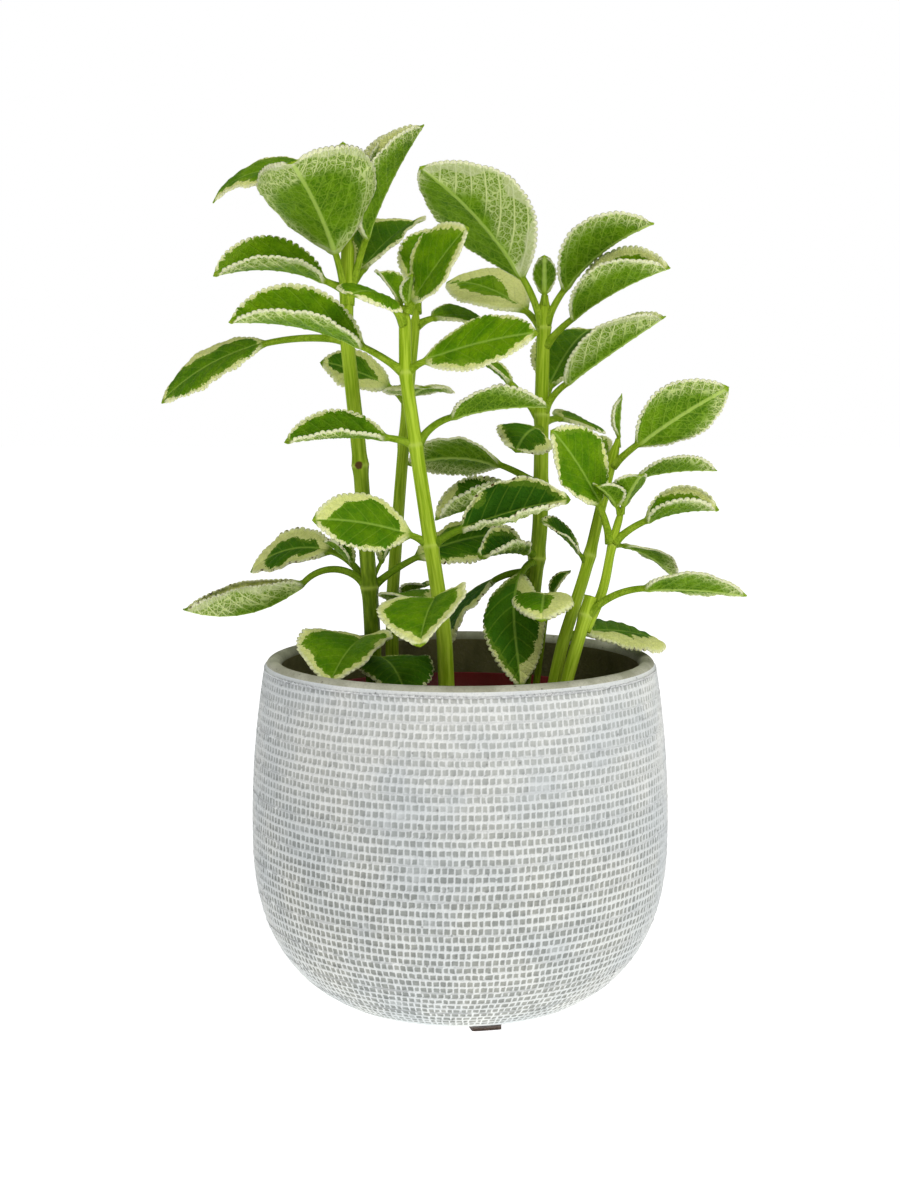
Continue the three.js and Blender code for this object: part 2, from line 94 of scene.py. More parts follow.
# Height on the stem, direction, pitch at the stem, at the blade's foot and at its tip, stalk,
# blade, width, fold, curl, roll, bend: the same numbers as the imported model's leaves.
LEAVES = {
    "a": {
        "top_front": (264, 246, 82, 54, 30, 20, 45, 54, 18, 24, 18, 0),
        "top_right": (264, 348, 80, 70, 54, 24, 48, 31, 40, 18, 26, 0),
        "top_left": (286, 162, 80, 60, -50, 14, 58, 26, 15, -30, -30, 0),
        "upper_left": (270, 199, 20, 22, -18, 7, 44, 25, 30, 34, -30, 0),
        "upper_back": (269, 50, 50, 45, 20, 10, 40, 34, 25, -10, 0, 0),
        "middle_left": (251, 172, 8, -12, -45, 30, 48, 27, 15, -30, -35, 0),
        "lower_left": (157, 190, 58, -44, 20, 27, 50, 27, 44, 30, -8, 0),
        "lower_right": (157, 14, 40, 25, 0, 20, 40, 24, 10, -30, 35, 0),
        "lower_back": (157, 150, 66, 12, -40, 21, 42, 23, 15, -30, -40, 0),
        "foot_front": (136, 255, 25, 0, -32, 11, 42, 38, 34, -30, 0, 0),
        "foot_right": (127, 290, 35, 8, -45, 8, 34, 30, 20, -20, 0, 0),
        "tip_right": (288, 24, 80, 72, 60, 5, 40, 18, 30, 20, 0, 0),
        "tip_back": (288, 110, 85, 85, 80, 5, 32, 16, 30, 20, 0, 0),
        "side_bud_left": (159, 158, 55, 45, 25, 8, 16, 12, 30, 20, 0, 0),
        "side_bud_right": (159, 40, 60, 55, 40, 8, 14, 10, 30, 20, 0, 0),
    },
    "b": {
        "foot_back": (150, 128, 35, 12, -15, 8, 26, 22, 20, -20, 0, 0),
        "foot_front": (155, 262, 20, 0, -35, 9, 40, 36, 32, -25, 14, 0),
        "low_left": (176, 197, 40, 20, 0, 7, 38, 25, 14, -15, -54, 0),
        "low_right": (176, 338, 36, 22, 10, 12, 44, 28, 30, 30, 58, 0),
        "middle_left": (213, 188, 20, 8, -12, 9, 38, 20, 26, 30, -34, 0),
        "middle_right": (213, 352, 62, 18, -5, 15, 37, 26, 20, 10, -10, 0),
        "upper_left": (239, 190, 38, 26, -5, 16, 50, 30, 32, 34, -32, 0),
        "upper_right": (239, 337, 40, 20, 5, 7, 45, 25, 10, -15, 50, 0),
        "top_left": (256, 236, 50, 35, -20, 8, 27, 28, 15, -50, -20, 0),
        "top_right": (260, 335, 65, 55, 45, 4, 34, 35, 20, -20, 50, 0),
        "tip_left": (260, 138, 75, 60, 30, 3, 18, 14, 30, 0, 0, 0),
        "tip_bud": (260, 320, 85, 80, 80, 2, 12, 8, 30, 0, 0, 0),
    },
    "d": {
        "top_back": (262, 72, 70, 60, 40, 8, 36, 24, 20, 0, 0, 0),
        "top_right": (257, 25, 35, 15, -20, 7, 24, 22, 20, -30, 20, 0),
        "middle_left": (228, 183, 50, 30, 10, 8, 29, 24, 15, -20, -40, 0),
        "middle_right": (228, 282, 25, 12, 0, 8, 28, 28, 12, -30, 0, 0),
        "side_bud": (146, 326, 50, 40, 10, 6, 14, 14, 20, 0, 0, 0),
    },
    "c": {
        "top_left": (256, 212, 76, 53, 28, 20, 60, 42, 15, -5, 22, 0),
        "top_right": (257, 334, 70, 52, 16, 14, 44, 31, 24, 14, -12, 0),
        "upper_right": (249, 332, 50, 35, 15, 14, 44, 32, 44, 20, 22, 0),
        "upper_back": (255, 141, 55, 35, 0, 10, 42, 27, 15, -20, -30, 0),
        "middle_right": (223, 332, 72, 34, 30, 14, 48, 27, 36, 30, 8, 0),
        "middle_back": (225, 60, 60, 50, 15, 10, 44, 30, 15, -10, 0, 0),
        "middle_left": (222, 165, 55, 45, 20, 16, 24, 20, 10, 0, 0, 0),
        "middle_low": (220, 45, 15, 5, -30, 8, 27, 22, 10, -20, 20, 0),
        "middle_front": (217, 250, 10, 0, -35, 6, 26, 22, 15, -40, -25, 0),
        "low_left": (196, 168, 35, 20, -20, 16, 38, 28, 15, -30, 35, 0),
        "low_front": (192, 200, 5, -5, -20, 5, 38, 26, 30, 34, -8, 0),
        "foot_left": (169, 232, 20, 10, -10, 6, 30, 22, 34, 30, -28, 0),
        "hang_front": (166, 240, 10, -40, -85, 11, 48, 24, 14, -22, 0, 70),
        "hang_back": (162, 188, 10, -30, -80, 15, 36, 26, 10, -20, 0, 0),
        "tip": (264, 265, 85, 85, 80, 4, 15, 12, 40, 0, 0, 0),
    },
    "e": {
        "top_right": (204, 338, 45, 37, 27, 12, 41, 26, 10, 0, -50, 0),
        "upper_right": (194, 6, 40, 15, -5, 12, 32, 18, 20, 20, -10, 0),
        "low_left": (168, 204, 60, 50, 25, 4, 22, 14, 20, 0, -30, 0),
        "foot_right": (140, 47, 20, 0, -20, 8, 55, 28, 15, -40, 20, 0),
        "tip": (211, 0, 88, 88, 85, 3, 17, 9, 40, 0, 0, 0),
        "tip_left": (206, 115, 40, 25, 0, 4, 22, 14, 20, 0, 0, 0),
    },
    "f": {
        "side_left": (176, 200, 80, 64, 46, 15, 34, 31, 10, 0, -60, 0),
        "side_right": (176, 348, 48, 25, -5, 14, 28, 20, 34, 34, 26, 0),
        "side_back": (175, 33, 10, -10, -45, 4, 30, 18, 20, -20, 0, 0),
        "foot_right": (150, 348, 50, 5, -10, 23, 38, 25, 15, -10, -25, 0),
        "side_tip_right": (187, 300, 78, 60, 35, 3, 17, 15, 25, -10, 0, 0),
        "side_tip_left": (187, 225, 75, 50, 20, 3, 15, 14, 25, -10, 0, 0),
    },
    "g": {
        "front": (150, 264, 60, 15, -45, 9, 27, 24, 15, -25, 0, 0),
        "tip": (149, 20, 75, 65, 40, 5, 13, 10, 20, 0, 0, 0),
    },
}

# How far the cream of a leaf reaches in from its margin on its two sides (mm), where it isn't the
# usual distance.
CREAM = {
    "a_top_front": (4.2, 4.4), "a_top_right": (8.0, 1.6), "a_top_left": (1.8, 1.2),
    "a_upper_left": (2.6, 0.5), "a_middle_left": (1.0, 3.6), "a_lower_left": (4.5, 4.5),
    "a_lower_right": (2.0, 1.6), "a_foot_front": (2.4, 2.2), "a_foot_right": (1.0, 1.0),
    "a_lower_back": (3.4, 4.0),
    "b_foot_front": (2.2, 2.4), "b_low_left": (1.4, 3.4), "b_low_right": (1.2, 4.5),
    "b_upper_right": (1.1, 1.7), "b_upper_left": (2.0, 1.2), "b_top_right": (1.6, 1.4),
    "b_middle_left": (1.7, 1.3), "b_middle_right": (0.6, 0.6), "b_top_left": (1.2, 1.6),
    "c_top_left": (7.5, 0.4), "c_top_right": (4.2, 1.6), "c_upper_right": (3.0, 1.8),
    "c_middle_right": (4.5, 3.4), "c_low_front": (2.6, 2.2), "c_foot_left": (2.0, 1.4),
    "c_hang_front": (5.0, 0.8), "c_hang_back": (3.0, 2.0), "c_low_left": (1.6, 3.0),
    "c_upper_back": (3.8, 4.2), "d_middle_left": (3.6, 3.0), "d_middle_right": (3.2, 3.8),
    "e_top_right": (1.4, 1.0), "e_upper_right": (2.0, 1.6), "e_foot_right": (4.2, 5.0),
    "f_side_left": (1.4, 1.0), "f_side_right": (1.8, 1.8), "f_foot_right": (2.6, 2.0),
    "g_front": (4.0, 3.0),
}
# How old a leaf looks (0 fresh, 1 dark), where the rule by height doesn't hold; on inner leaves the
# dark also stands for painted shade among the foliage.
LEAF_AGE_AND_SHADE = {
    "a_upper_back": 0.55, "a_top_left": 0.2, "a_foot_front": 0.3, "a_foot_right": 0.75,
    "a_lower_left": 0.7, "a_lower_back": 0.75, "a_lower_right": 0.8, "a_middle_left": 0.35,
    "b_foot_front": 0.2, "b_foot_back": 0.1, "b_low_left": 0.35, "b_low_right": 1.0,
    "b_middle_left": 0.3, "b_middle_right": 0.6, "c_low_left": 0.4, "c_low_front": 0.8,
    "c_foot_left": 1.0, "c_hang_front": 0.85, "c_hang_back": 1.0, "c_middle_front": 0.75,
    "c_middle_back": 0.5, "d_middle_left": 0.6, "d_middle_right": 0.5, "e_low_left": 0.9,
    "e_foot_right": 0.6, "f_side_back": 0.7, "g_front": 0.35,
}
# How hard a leaf's margin is rolled (degrees, up if positive), where it isn't nearly flat.
MARGIN_ROLL = {
    "a_lower_left": 75, "b_low_right": 60, "a_foot_front": 25, "b_foot_front": 20,
    "c_low_front": 55, "a_lower_back": 40, "c_foot_left": 50, "b_middle_left": 40,
    "c_hang_front": -25, "g_front": -45, "a_top_front": 25, "c_top_left": 12,
    "c_middle_right": -35, "f_side_right": 45, "e_upper_right": 25, "e_foot_right": -25,
}

# How dark each stem is at its foot (0 to 1), between which heights it turns fresh, and its
# scars: where they are and how large.
STEM_AGE = {"a": 1.0, "b": 0.12, "c": 0.85, "d": 0.5, "e": 0.25, "f": 0.15, "g": 0.6}
STEM_FRESH = (110, 265)
SIDE_SHOOT_AGE = 0.1
SCARS = {"a": [((-38.5, -0.6, 204), 2.2), ((-34, 2.5, 203), 1.5)]}


# ---------------------------------------------------------------- meshes
def new_piece(name, points, quads, tris, materials, indices=None, attributes=None):
    """One smooth-shaded object from points (mm), quads and triangles."""
    points = np.asarray(points, float)
    quads = np.asarray(quads, np.int32).reshape(-1, 4)
    tris = np.asarray(tris, np.int32).reshape(-1, 3)
    mesh = bpy.data.meshes.new(name)
    mesh.vertices.add(len(points))
    mesh.vertices.foreach_set("co", (points * MM).astype(np.float32).ravel())
    corners = np.concatenate([quads.ravel(), tris.ravel()])
    mesh.loops.add(len(corners))
    mesh.loops.foreach_set("vertex_index", corners)
    mesh.polygons.add(len(quads) + len(tris))
    starts = np.concatenate([np.arange(len(quads)) * 4, len(quads) * 4 + np.arange(len(tris)) * 3])
    mesh.polygons.foreach_set("loop_start", starts.astype(np.int32))
    for material in materials:
        mesh.materials.append(material)
    if indices is not None:
        mesh.polygons.foreach_set("material_index", np.asarray(indices, np.int32))
    for key, values in (attributes or {}).items():
        made = mesh.attributes.new(key, "FLOAT_VECTOR", "POINT")
        made.data.foreach_set("vector", np.asarray(values, np.float32).ravel())
    mesh.update(calc_edges=True)
    mesh.validate()
    mesh.shade_smooth()
    piece = bpy.data.objects.new(name, mesh)
    bpy.context.scene.collection.objects.link(piece)
    return piece


class Parts:
    """Gathers several bodies into one mesh."""

    def __init__(self, keys):
        self.points, self.quads, self.tris, self.count = [], [], [], 0
        self.attributes = {k: [] for k in keys}
        self.quad_materials, self.tri_materials = [], []

    def add(self, points, quads, tris=(), material=0, **attributes):
        quads = np.asarray(quads, np.int32).reshape(-1, 4)
        tris = np.asarray(tris, np.int32).reshape(-1, 3)
        self.points.append(np.asarray(points, float))
        self.quads.append(quads + self.count)
        self.tris.append(tris + self.count)
        self.quad_materials.append(np.full(len(quads), material))
        self.tri_materials.append(np.full(len(tris), material))
        for key, values in self.attributes.items():
            values.append(np.asarray(attributes[key], float).reshape(len(points), 3))
        self.count += len(points)

    def make(self, name, materials):
        return new_piece(
            name,
            np.concatenate(self.points),
            np.concatenate(self.quads),
            np.concatenate(self.tris),
            materials,
            np.concatenate(self.quad_materials + self.tri_materials),
            {k: np.concatenate(v) for k, v in self.attributes.items()},
        )


def ring_quads(rings, count, first=0):
    """Quads of a tube of rings, each of `count` points going round it."""
    i, j = np.meshgrid(np.arange(rings - 1), np.arange(count), indexing="ij")
    a = first + i * count + j
    b = first + i * count + (j + 1) % count
    return np.stack([a, b, b + count, a + count], -1).reshape(-1, 4)


def fan(count, first, centre, flip):
    j = np.arange(count)
    a, b = first + j, first + (j + 1) % count
    c = np.full(count, centre)
    return np.stack([c, b, a] if flip else [c, a, b], -1)


def smooth(low, high, x):
    t = np.clip((x - low) / (high - low), 0, 1)
    return t * t * (3 - 2 * t)


# ---------------------------------------------------------------- materials
class Shader:
    """A procedural material, built from the shader backwards."""

    def __init__(self, name, **sockets):
        self.material = bpy.data.materials.new(name)
        self.material.use_nodes = True
        self.tree = self.material.node_tree
        self.tree.nodes.clear()
        out = self.tree.nodes.new("ShaderNodeOutputMaterial")
        self.bsdf = self.tree.nodes.new("ShaderNodeBsdfPrincipled")
        self.tree.links.new(self.bsdf.outputs[0], out.inputs["Surface"])
        for key, value in sockets.items():
            self.bsdf.inputs[key.replace("_", " ")].default_value = value

    def put(self, socket, value):
        if isinstance(value, bpy.types.NodeSocket):
            self.tree.links.new(value, socket)
        elif isinstance(value, (tuple, list)) and len(value) == 3 and socket.type == "RGBA":
            socket.default_value = (*value, 1)
        elif value is not None:
            socket.default_value = value

    def node(self, kind, *values, **properties):
        made = self.tree.nodes.new("ShaderNode" + kind)
        for key, value in properties.items():
            setattr(made, key, value)
        for socket, value in zip(made.inputs, values):
            self.put(socket, value)
        return made

    def parts(self, attribute):
        """The three numbers of a vertex attribute."""
        source = self.node("Attribute", attribute_name=attribute, attribute_type="GEOMETRY")
        return self.node("SeparateXYZ", source.outputs["Vector"]).outputs

    def object_at(self):
        return self.node("TexCoord").outputs["Object"]

    def vector(self, x, y, z):
        return self.node("CombineXYZ", x, y, z).outputs[0]

    def math(self, operation, a, b=None, c=None, clamp=False):
        return self.node("Math", a, b, c, operation=operation, use_clamp=clamp).outputs[0]

    def add(self, a, b):
        return self.math("ADD", a, b)

    def less(self, a, b):
        return self.math("SUBTRACT", a, b)

    def times(self, a, b):
        return self.math("MULTIPLY", a, b)

    def step(self, value, low, high, to_low=0.0, to_high=1.0):
        """A smooth step of value from low to high."""
        return self.node(
            "MapRange", value, low, high, to_low, to_high, interpolation_type="SMOOTHSTEP"
        ).outputs[0]

    def noise(self, where, scale, detail=2.0, rough=0.5, stretch=None):
        if stretch:
            where = self.node("VectorMath", where, stretch, operation="MULTIPLY").outputs[0]
        made = self.node("TexNoise", where)
        made.inputs["Scale"].default_value = scale
        made.inputs["Detail"].default_value = detail
        made.inputs["Roughness"].default_value = rough
        return made.outputs["Fac"]

    def cells(self, where, scale, feature="DISTANCE_TO_EDGE", output="Distance"):
        made = self.node("TexVoronoi", where, feature=feature)
        made.inputs["Scale"].default_value = scale
        return made.outputs[output]

    def mix(self, share, a, b):
        made = self.tree.nodes.new("ShaderNodeMix")
        made.data_type = "RGBA"
        colours = [s for s in made.inputs if s.type == "RGBA"]
        self.put(made.inputs[0], share)
        self.put(colours[0], a)
        self.put(colours[1], b)
        return next(s for s in made.outputs if s.type == "RGBA")

    def blend(self, value, low, high, first, second):
        """One screen colour turning into another as value goes from low to high."""
        return self.mix(self.step(value, low, high), srgb(*first), srgb(*second))

    def tint(self, colour, mask, share, other):
        """Another screen colour laid over this one, by a share of the mask."""
        return self.mix(self.times(mask, share), colour, srgb(*other))

    def bump(self, height, distance, strength=1.0, normal=None):
        made = self.node("Bump")
        made.inputs["Strength"].default_value = strength
        made.inputs["Distance"].default_value = distance
        self.put(made.inputs["Height"], height)
        if normal is not None:
            self.put(made.inputs["Normal"], normal)
        return made.outputs["Normal"]

    def finish(self, colour, roughness, normal):
        self.put(self.bsdf.inputs["Base Color"], colour)
        self.put(self.bsdf.inputs["Roughness"], roughness)
        self.put(self.bsdf.inputs["Normal"], normal)
        return self.material


def srgb(r, g, b):
    """A colour given as 0 to 255 screen values, as linear light."""
    return tuple(
        (c / 12.92 if c <= 0.04045 else ((c + 0.055) / 1.055) ** 2.4)
        for c in (r / 255, g / 255, b / 255)
    )


def leaf_material():
    s = Shader(
        "variegated_leaf", Subsurface_Weight=0.1, Subsurface_Scale=0.0012,
        Subsurface_Radius=(1.0, 1.0, 0.1), Specular_IOR_Level=0.05,
    )
    across, along, edge = s.parts("leaf_at")
    phase, under, stalk = s.parts("leaf_way")
    seed, age, cream = s.parts("leaf_kind")
    at = s.vector(across, along, seed)

    # veins: the pairs that leave the midrib, then the net between them
    spread = s.math("ABSOLUTE", across)
    beside = s.math("ABSOLUTE", s.less(s.math("FRACT", phase), 0.5))
    lateral = s.step(beside, 0.025, 0.095, 1.0, 0.0)
    midrib = s.step(spread, 0.3, 0.9, 1.0, 0.0)
    warp = s.noise(at, 0.35, 2.0)
    bent = s.node(
        "VectorMath", at, s.vector(s.times(warp, 2.2), s.times(warp, 1.4), 0.0), operation="ADD"
    ).outputs[0]
    net = s.step(s.cells(bent, 0.42), 0.03, 0.12, 1.0, 0.0)
    fine = s.step(s.cells(bent, 1.0), 0.03, 0.15, 1.0, 0.0)
    veins = s.math("MAXIMUM", s.math("MAXIMUM", lateral, midrib), s.times(net, 0.8))
    every = s.math("MAXIMUM", veins, s.times(fine, 0.45))

    # cream margin: its inner line is finely jagged and reaches in between the veins
    patch = s.noise(at, 0.07, 1.0)
    ragged = s.noise(at, 0.9, 3.0, 0.65)
    reach = s.times(cream, s.step(patch, 0.3, 0.7, 0.5, 2.0))
    reach = s.add(reach, s.times(s.less(ragged, 0.5), 3.4))
    reach = s.add(reach, s.times(s.less(beside, 0.25), 1.3))
    inside = s.less(edge, reach)
    pale = s.step(inside, -0.14, 0.14, 1.0, 0.0)
    between = s.step(s.less(inside, s.times(s.less(patch, 0.42), 9.0)), 0.0, 0.5, 1.0, 0.0)

    # upper side
    tone = s.noise(at, 0.14, 3.0, 0.6)
    mottle = s.noise(at, 1.1, 2.0, 0.6)
    green = s.blend(tone, 0.3, 0.7, (84, 132, 4), (118, 160, 8))
    # darker for older leaves, and for inner leaves as painted shade among the foliage
    green = s.tint(green, age, 0.85, (40, 92, 16))
    green = s.tint(green, s.step(mottle, 0.4, 0.75), 0.22, (46, 92, 4))
    green = s.tint(green, between, 0.3, (142, 172, 50))
    green = s.tint(green, midrib, 0.6, (152, 186, 74))
    green = s.tint(green, lateral, 0.24, (142, 176, 56))
    cream_colour = s.blend(edge, 0.0, 1.8, (236, 238, 190), (224, 229, 144))
    cream_colour = s.tint(cream_colour, s.step(mottle, 0.4, 0.7), 0.4, (184, 198, 104))
    top = s.mix(pale, green, cream_colour)

    # underside: darker by the midrib, washed out towards the margin, with a raised pale net, and
    # darker towards the leaf's foot as painted shade
    deep = s.blend(tone, 0.3, 0.7, (68, 112, 4), (102, 144, 8))
    # darker for older leaves, and for inner leaves as painted shade among the foliage
    deep = s.tint(deep, age, 0.5, (48, 84, 20))
    haze_with_foot_shade = s.add(s.less(edge, s.times(cream, 1.7)), s.times(s.less(patch, 0.5), 9.0))
    # painted shade: less wash, so a darker underside, towards the leaf's foot
    haze_with_foot_shade = s.add(haze_with_foot_shade, s.step(along, 3.0, 26.0, 5.5, -1.0))
    wash = s.step(haze_with_foot_shade, -2.0, 4.5, 1.0, 0.0)
    deep = s.tint(deep, wash, 0.5, (136, 164, 58))
    lines = s.mix(wash, srgb(140, 174, 52), srgb(212, 224, 152))
    below = s.mix(s.times(every, s.step(wash, 0.0, 1.0, 0.55, 0.9)), deep, lines)
    below = s.tint(below, midrib, 0.75, (168, 194, 92))
    under_cream = s.mix(s.times(every, 0.4), srgb(186, 198, 134), srgb(224, 228, 190))
    under_pale = s.step(s.less(edge, s.times(reach, 0.38)), -0.4, 0.5, 1.0, 0.0)
    below = s.mix(s.times(under_pale, 0.9), below, under_cream)
    rim = s.step(s.less(edge, s.times(ragged, 1.6)), -0.1, 0.2, 1.0, 0.0)
    below = s.mix(rim, below, srgb(226, 229, 186))

    face = s.step(under, 0.45, 0.6)
    blade = s.mix(face, top, below)
    # old leaves have small brown nicks along the margin
    nick = s.times(s.step(s.noise(at, 0.7, 2.0), 0.58, 0.66), s.step(edge, 0.2, 1.3, 1.0, 0.0))
    blade = s.mix(s.times(nick, s.step(age, 0.3, 0.8)), blade, srgb(84, 66, 26))

    streak = s.noise(s.vector(s.times(across, 3.0), s.times(along, 0.25), seed), 1.0, 2.0)
    stem = s.blend(streak, 0.3, 0.7, (118, 150, 22), (152, 180, 48))
    stem = s.tint(stem, age, 0.6, (78, 114, 18))
    colour = s.mix(stalk, blade, stem)

    rough = s.step(mottle, 0.2, 0.8, 0.45, 0.62)
    relief = s.less(s.times(s.times(every, face), 2.0), every)
    relief = s.add(relief, s.times(s.noise(at, 3.0, 2.0), 0.35))
    normal = s.bump(relief, 0.00035, 0.8)
    return s.finish(colour, rough, normal)


def stem_material():
    s = Shader(
        "herb_stem", Subsurface_Weight=0.1, Subsurface_Scale=0.0015,
        Subsurface_Radius=(1.0, 1.0, 0.1), Specular_IOR_Level=0.06,
    )
    round_at, along, ring = s.parts("stem_at")
    seed, age, scar = s.parts("stem_kind")
    at = s.vector(round_at, along, seed)
    streak = s.noise(s.vector(s.times(round_at, 1.2), s.times(along, 0.05), seed), 1.0, 3.0, 0.6)
    colour = s.blend(streak, 0.3, 0.72, (126, 158, 12), (180, 205, 62))
    old = s.noise(s.vector(s.times(round_at, 0.6), s.times(along, 0.12), seed), 1.0, 2.0)
    colour = s.mix(s.times(age, s.step(old, 0.3, 0.7, 0.55, 1.0)), colour, srgb(58, 88, 2))
    colour = s.tint(colour, ring, 0.7, (180, 200, 84))
    speck = s.step(s.cells(at, 0.45, "F1"), 0.03, 0.10, 1.0, 0.0)
    colour = s.tint(colour, speck, 0.35, (96, 92, 40))
    brown = s.step(s.add(scar, s.times(s.noise(at, 0.9, 3.0), 0.5)), 0.7, 0.95)
    colour = s.mix(brown, colour, srgb(88, 66, 30))
    hairs = s.noise(s.vector(s.times(round_at, 4.0), s.times(along, 1.6), seed), 1.0, 2.0)
    rough = s.step(streak, 0.2, 0.8, 0.5, 0.38)
    relief = s.add(s.times(streak, 0.6), s.times(hairs, 0.4))
    return s.finish(colour, rough, s.bump(relief, 0.00035, 0.5))


def relief_material():
    """Cement with sunk cells: whitewash on the ridges, bare grey in the cells."""
    s = Shader("whitewashed_cement", Specular_IOR_Level=0.25)
    pit, cell, height = s.parts("cell_at")
    at = s.object_at()
    grain = s.noise(at, 1400.0, 3.0, 0.65)
    patch = s.noise(at, 34.0, 3.0, 0.6)
    wear = s.noise(at, 420.0, 3.0, 0.65)
    line = s.add(pit, s.times(s.less(wear, 0.5), 0.95))
    sunk = s.step(line, 0.35, 0.95)
    bare = s.step(s.add(cell, s.times(s.less(patch, 0.5), 1.5)), 0.0, 0.7, 0.3, 1.0)
    low = s.step(height, 0.05, 0.98, 1.2, 0.68)
    sunk = s.times(s.times(sunk, bare), low)
    wash = s.blend(patch, 0.3, 0.7, (212, 216, 217), (229, 230, 227))
    wash = s.tint(wash, s.step(grain, 0.45, 0.72), 0.5, (192, 196, 196))
    grey = s.blend(patch, 0.3, 0.7, (150, 155, 153), (167, 168, 160))
    grey = s.tint(grey, s.step(wear, 0.35, 0.75), 0.7, (128, 132, 129))
    colour = s.mix(sunk, wash, grey)
    hole = s.step(s.cells(at, 210.0, "F1"), 0.05, 0.11, 1.0, 0.0)
    colour = s.tint(colour, hole, 0.45, (112, 114, 112))
    rough = s.step(grain, 0.3, 0.7, 0.86, 0.97)
    bump = s.bump(s.add(s.times(grain, 0.5), s.less(s.times(wear, 0.7), hole)), 0.0004, 0.7)
    return s.finish(colour, rough, bump)


def rim_material():
    s = Shader("bare_cement_rim", Specular_IOR_Level=0.25)
    at = s.object_at()
    grain = s.noise(at, 1300.0, 3.0, 0.65)
    patch = s.noise(at, 60.0, 4.0, 0.6)
    colour = s.blend(patch, 0.32, 0.68, (156, 156, 134), (196, 195, 176))
    colour = s.tint(colour, s.step(grain, 0.45, 0.75), 0.5, (132, 128, 116))
    hole = s.step(s.cells(at, 240.0, "F1"), 0.05, 0.12, 1.0, 0.0)
    colour = s.tint(colour, hole, 0.6, (96, 92, 82))
    bump = s.bump(s.less(s.times(grain, 0.6), hole), 0.0004, 0.7)
    return s.finish(colour, s.step(grain, 0.3, 0.7, 0.82, 0.95), bump)


def inner_material():
    s = Shader("bare_cement_inside", Specular_IOR_Level=0.2)
    at = s.object_at()
    grain = s.noise(at, 900.0, 4.0, 0.65)
    patch = s.noise(at, 22.0, 4.0, 0.6)
    run = s.noise(at, 55.0, 3.0, 0.6, (1.0, 1.0, 0.25))
    # painted shade: the inside's bare cement is darker and more olive than the rim's, standing in
    # for the shade inside the planter's mouth
    colour = s.blend(patch, 0.3, 0.7, (110, 108, 66), (134, 128, 88))
    colour = s.tint(colour, s.step(run, 0.45, 0.7), 0.5, (74, 76, 44))
    colour = s.tint(colour, s.step(grain, 0.5, 0.75), 0.4, (150, 142, 126))
    return s.finish(colour, s.step(grain, 0.3, 0.7, 0.84, 0.96), s.bump(grain, 0.0006, 0.8))


def plastic_material():
    s = Shader("nursery_pot_plastic", Specular_IOR_Level=0.3)
    at = s.object_at()
    patch = s.noise(at, 45.0, 3.0, 0.55)
    scuff = s.noise(at, 420.0, 3.0, 0.7, (1.0, 1.0, 0.2))
    dust = s.noise(at, 160.0, 4.0, 0.7)
    colour = s.blend(patch, 0.3, 0.7, (104, 6, 12), (126, 12, 18))
    colour = s.tint(colour, s.step(scuff, 0.58, 0.75), 0.35, (150, 52, 56))
    colour = s.tint(colour, s.step(dust, 0.58, 0.72), 0.3, (70, 44, 36))
    bump = s.bump(s.add(scuff, s.times(dust, 0.5)), 0.0002, 0.5)
    return s.finish(colour, s.step(patch, 0.3, 0.7, 0.34, 0.48), bump)


def soil_material():
    s = Shader("potting_soil", Specular_IOR_Level=0.2)
    at = s.object_at()
    lump = s.noise(at, 220.0, 5.0, 0.7)
    fibre = s.noise(at, 700.0, 4.0, 0.7, (1.0, 0.3, 1.0))
    colour = s.blend(lump, 0.3, 0.7, (38, 28, 20), (74, 56, 40))
    colour = s.tint(colour, s.step(fibre, 0.6, 0.75), 0.6, (118, 92, 62))
    bump = s.bump(s.add(lump, s.times(fibre, 0.4)), 0.0012, 0.9)
    return s.finish(colour, s.step(lump, 0.3, 0.7, 0.95, 0.8), bump)


def felt_material():
    # brown felt; its dark brown also stands in for the shade in a notch at the planter's foot
    s = Shader("felt", Specular_IOR_Level=0.15, Sheen_Weight=0.3, Sheen_Roughness=0.6)
    at = s.object_at()
    fibre = s.noise(at, 1100.0, 5.0, 0.75, (1.0, 0.35, 1.0))
    cross = s.noise(at, 1300.0, 4.0, 0.75, (0.3, 1.0, 1.0))
    patch = s.noise(at, 120.0, 2.0)
    colour = s.blend(fibre, 0.35, 0.7, (58, 42, 34), (104, 84, 70))
    colour = s.tint(colour, s.step(patch, 0.4, 0.7), 0.4, (74, 56, 46))
    bump = s.bump(s.add(fibre, cross), 0.0005, 0.9)
    return s.finish(colour, s.step(cross, 0.3, 0.7, 0.9, 1.0), bump)


def floor_material():
    s = Shader(
        "studio_floor", Specular_IOR_Level=0.1, Emission_Color=(1, 1, 1, 1), Emission_Strength=0.75)
    at = s.object_at()
    grain = s.noise(at, 30.0, 3.0)
    colour = s.mix(s.step(grain, 0.3, 0.7), (0.93, 0.93, 0.93), (0.95, 0.95, 0.95))
    return s.finish(colour, s.step(grain, 0.3, 0.7, 0.75, 0.85), s.bump(grain, 0.0001, 0.2))


# ---------------------------------------------------------------- stems
def stem_point(stem, z):
    """The piecewise straight middle line of a stem, and its radius, at heights z."""
    path = np.array(stem["path"], float)
    inner = np.clip(z, path[0, 2], path[-1, 2])
    point = np.stack([np.interp(inner, path[:, 2], path[:, k]) for k in (0, 1)], -1)
    last = (path[-1] - path[-2])[:2] / (path[-1] - path[-2])[2]
    point = point + np.maximum(z - path[-1, 2], 0)[..., None] * last
    along = (z - path[0, 2]) / (path[-1, 2] - path[0, 2])
    radius = stem["r"][0] + (stem["r"][1] - stem["r"][0]) * along
    return np.concatenate([point, np.asarray(z)[..., None]], -1), radius


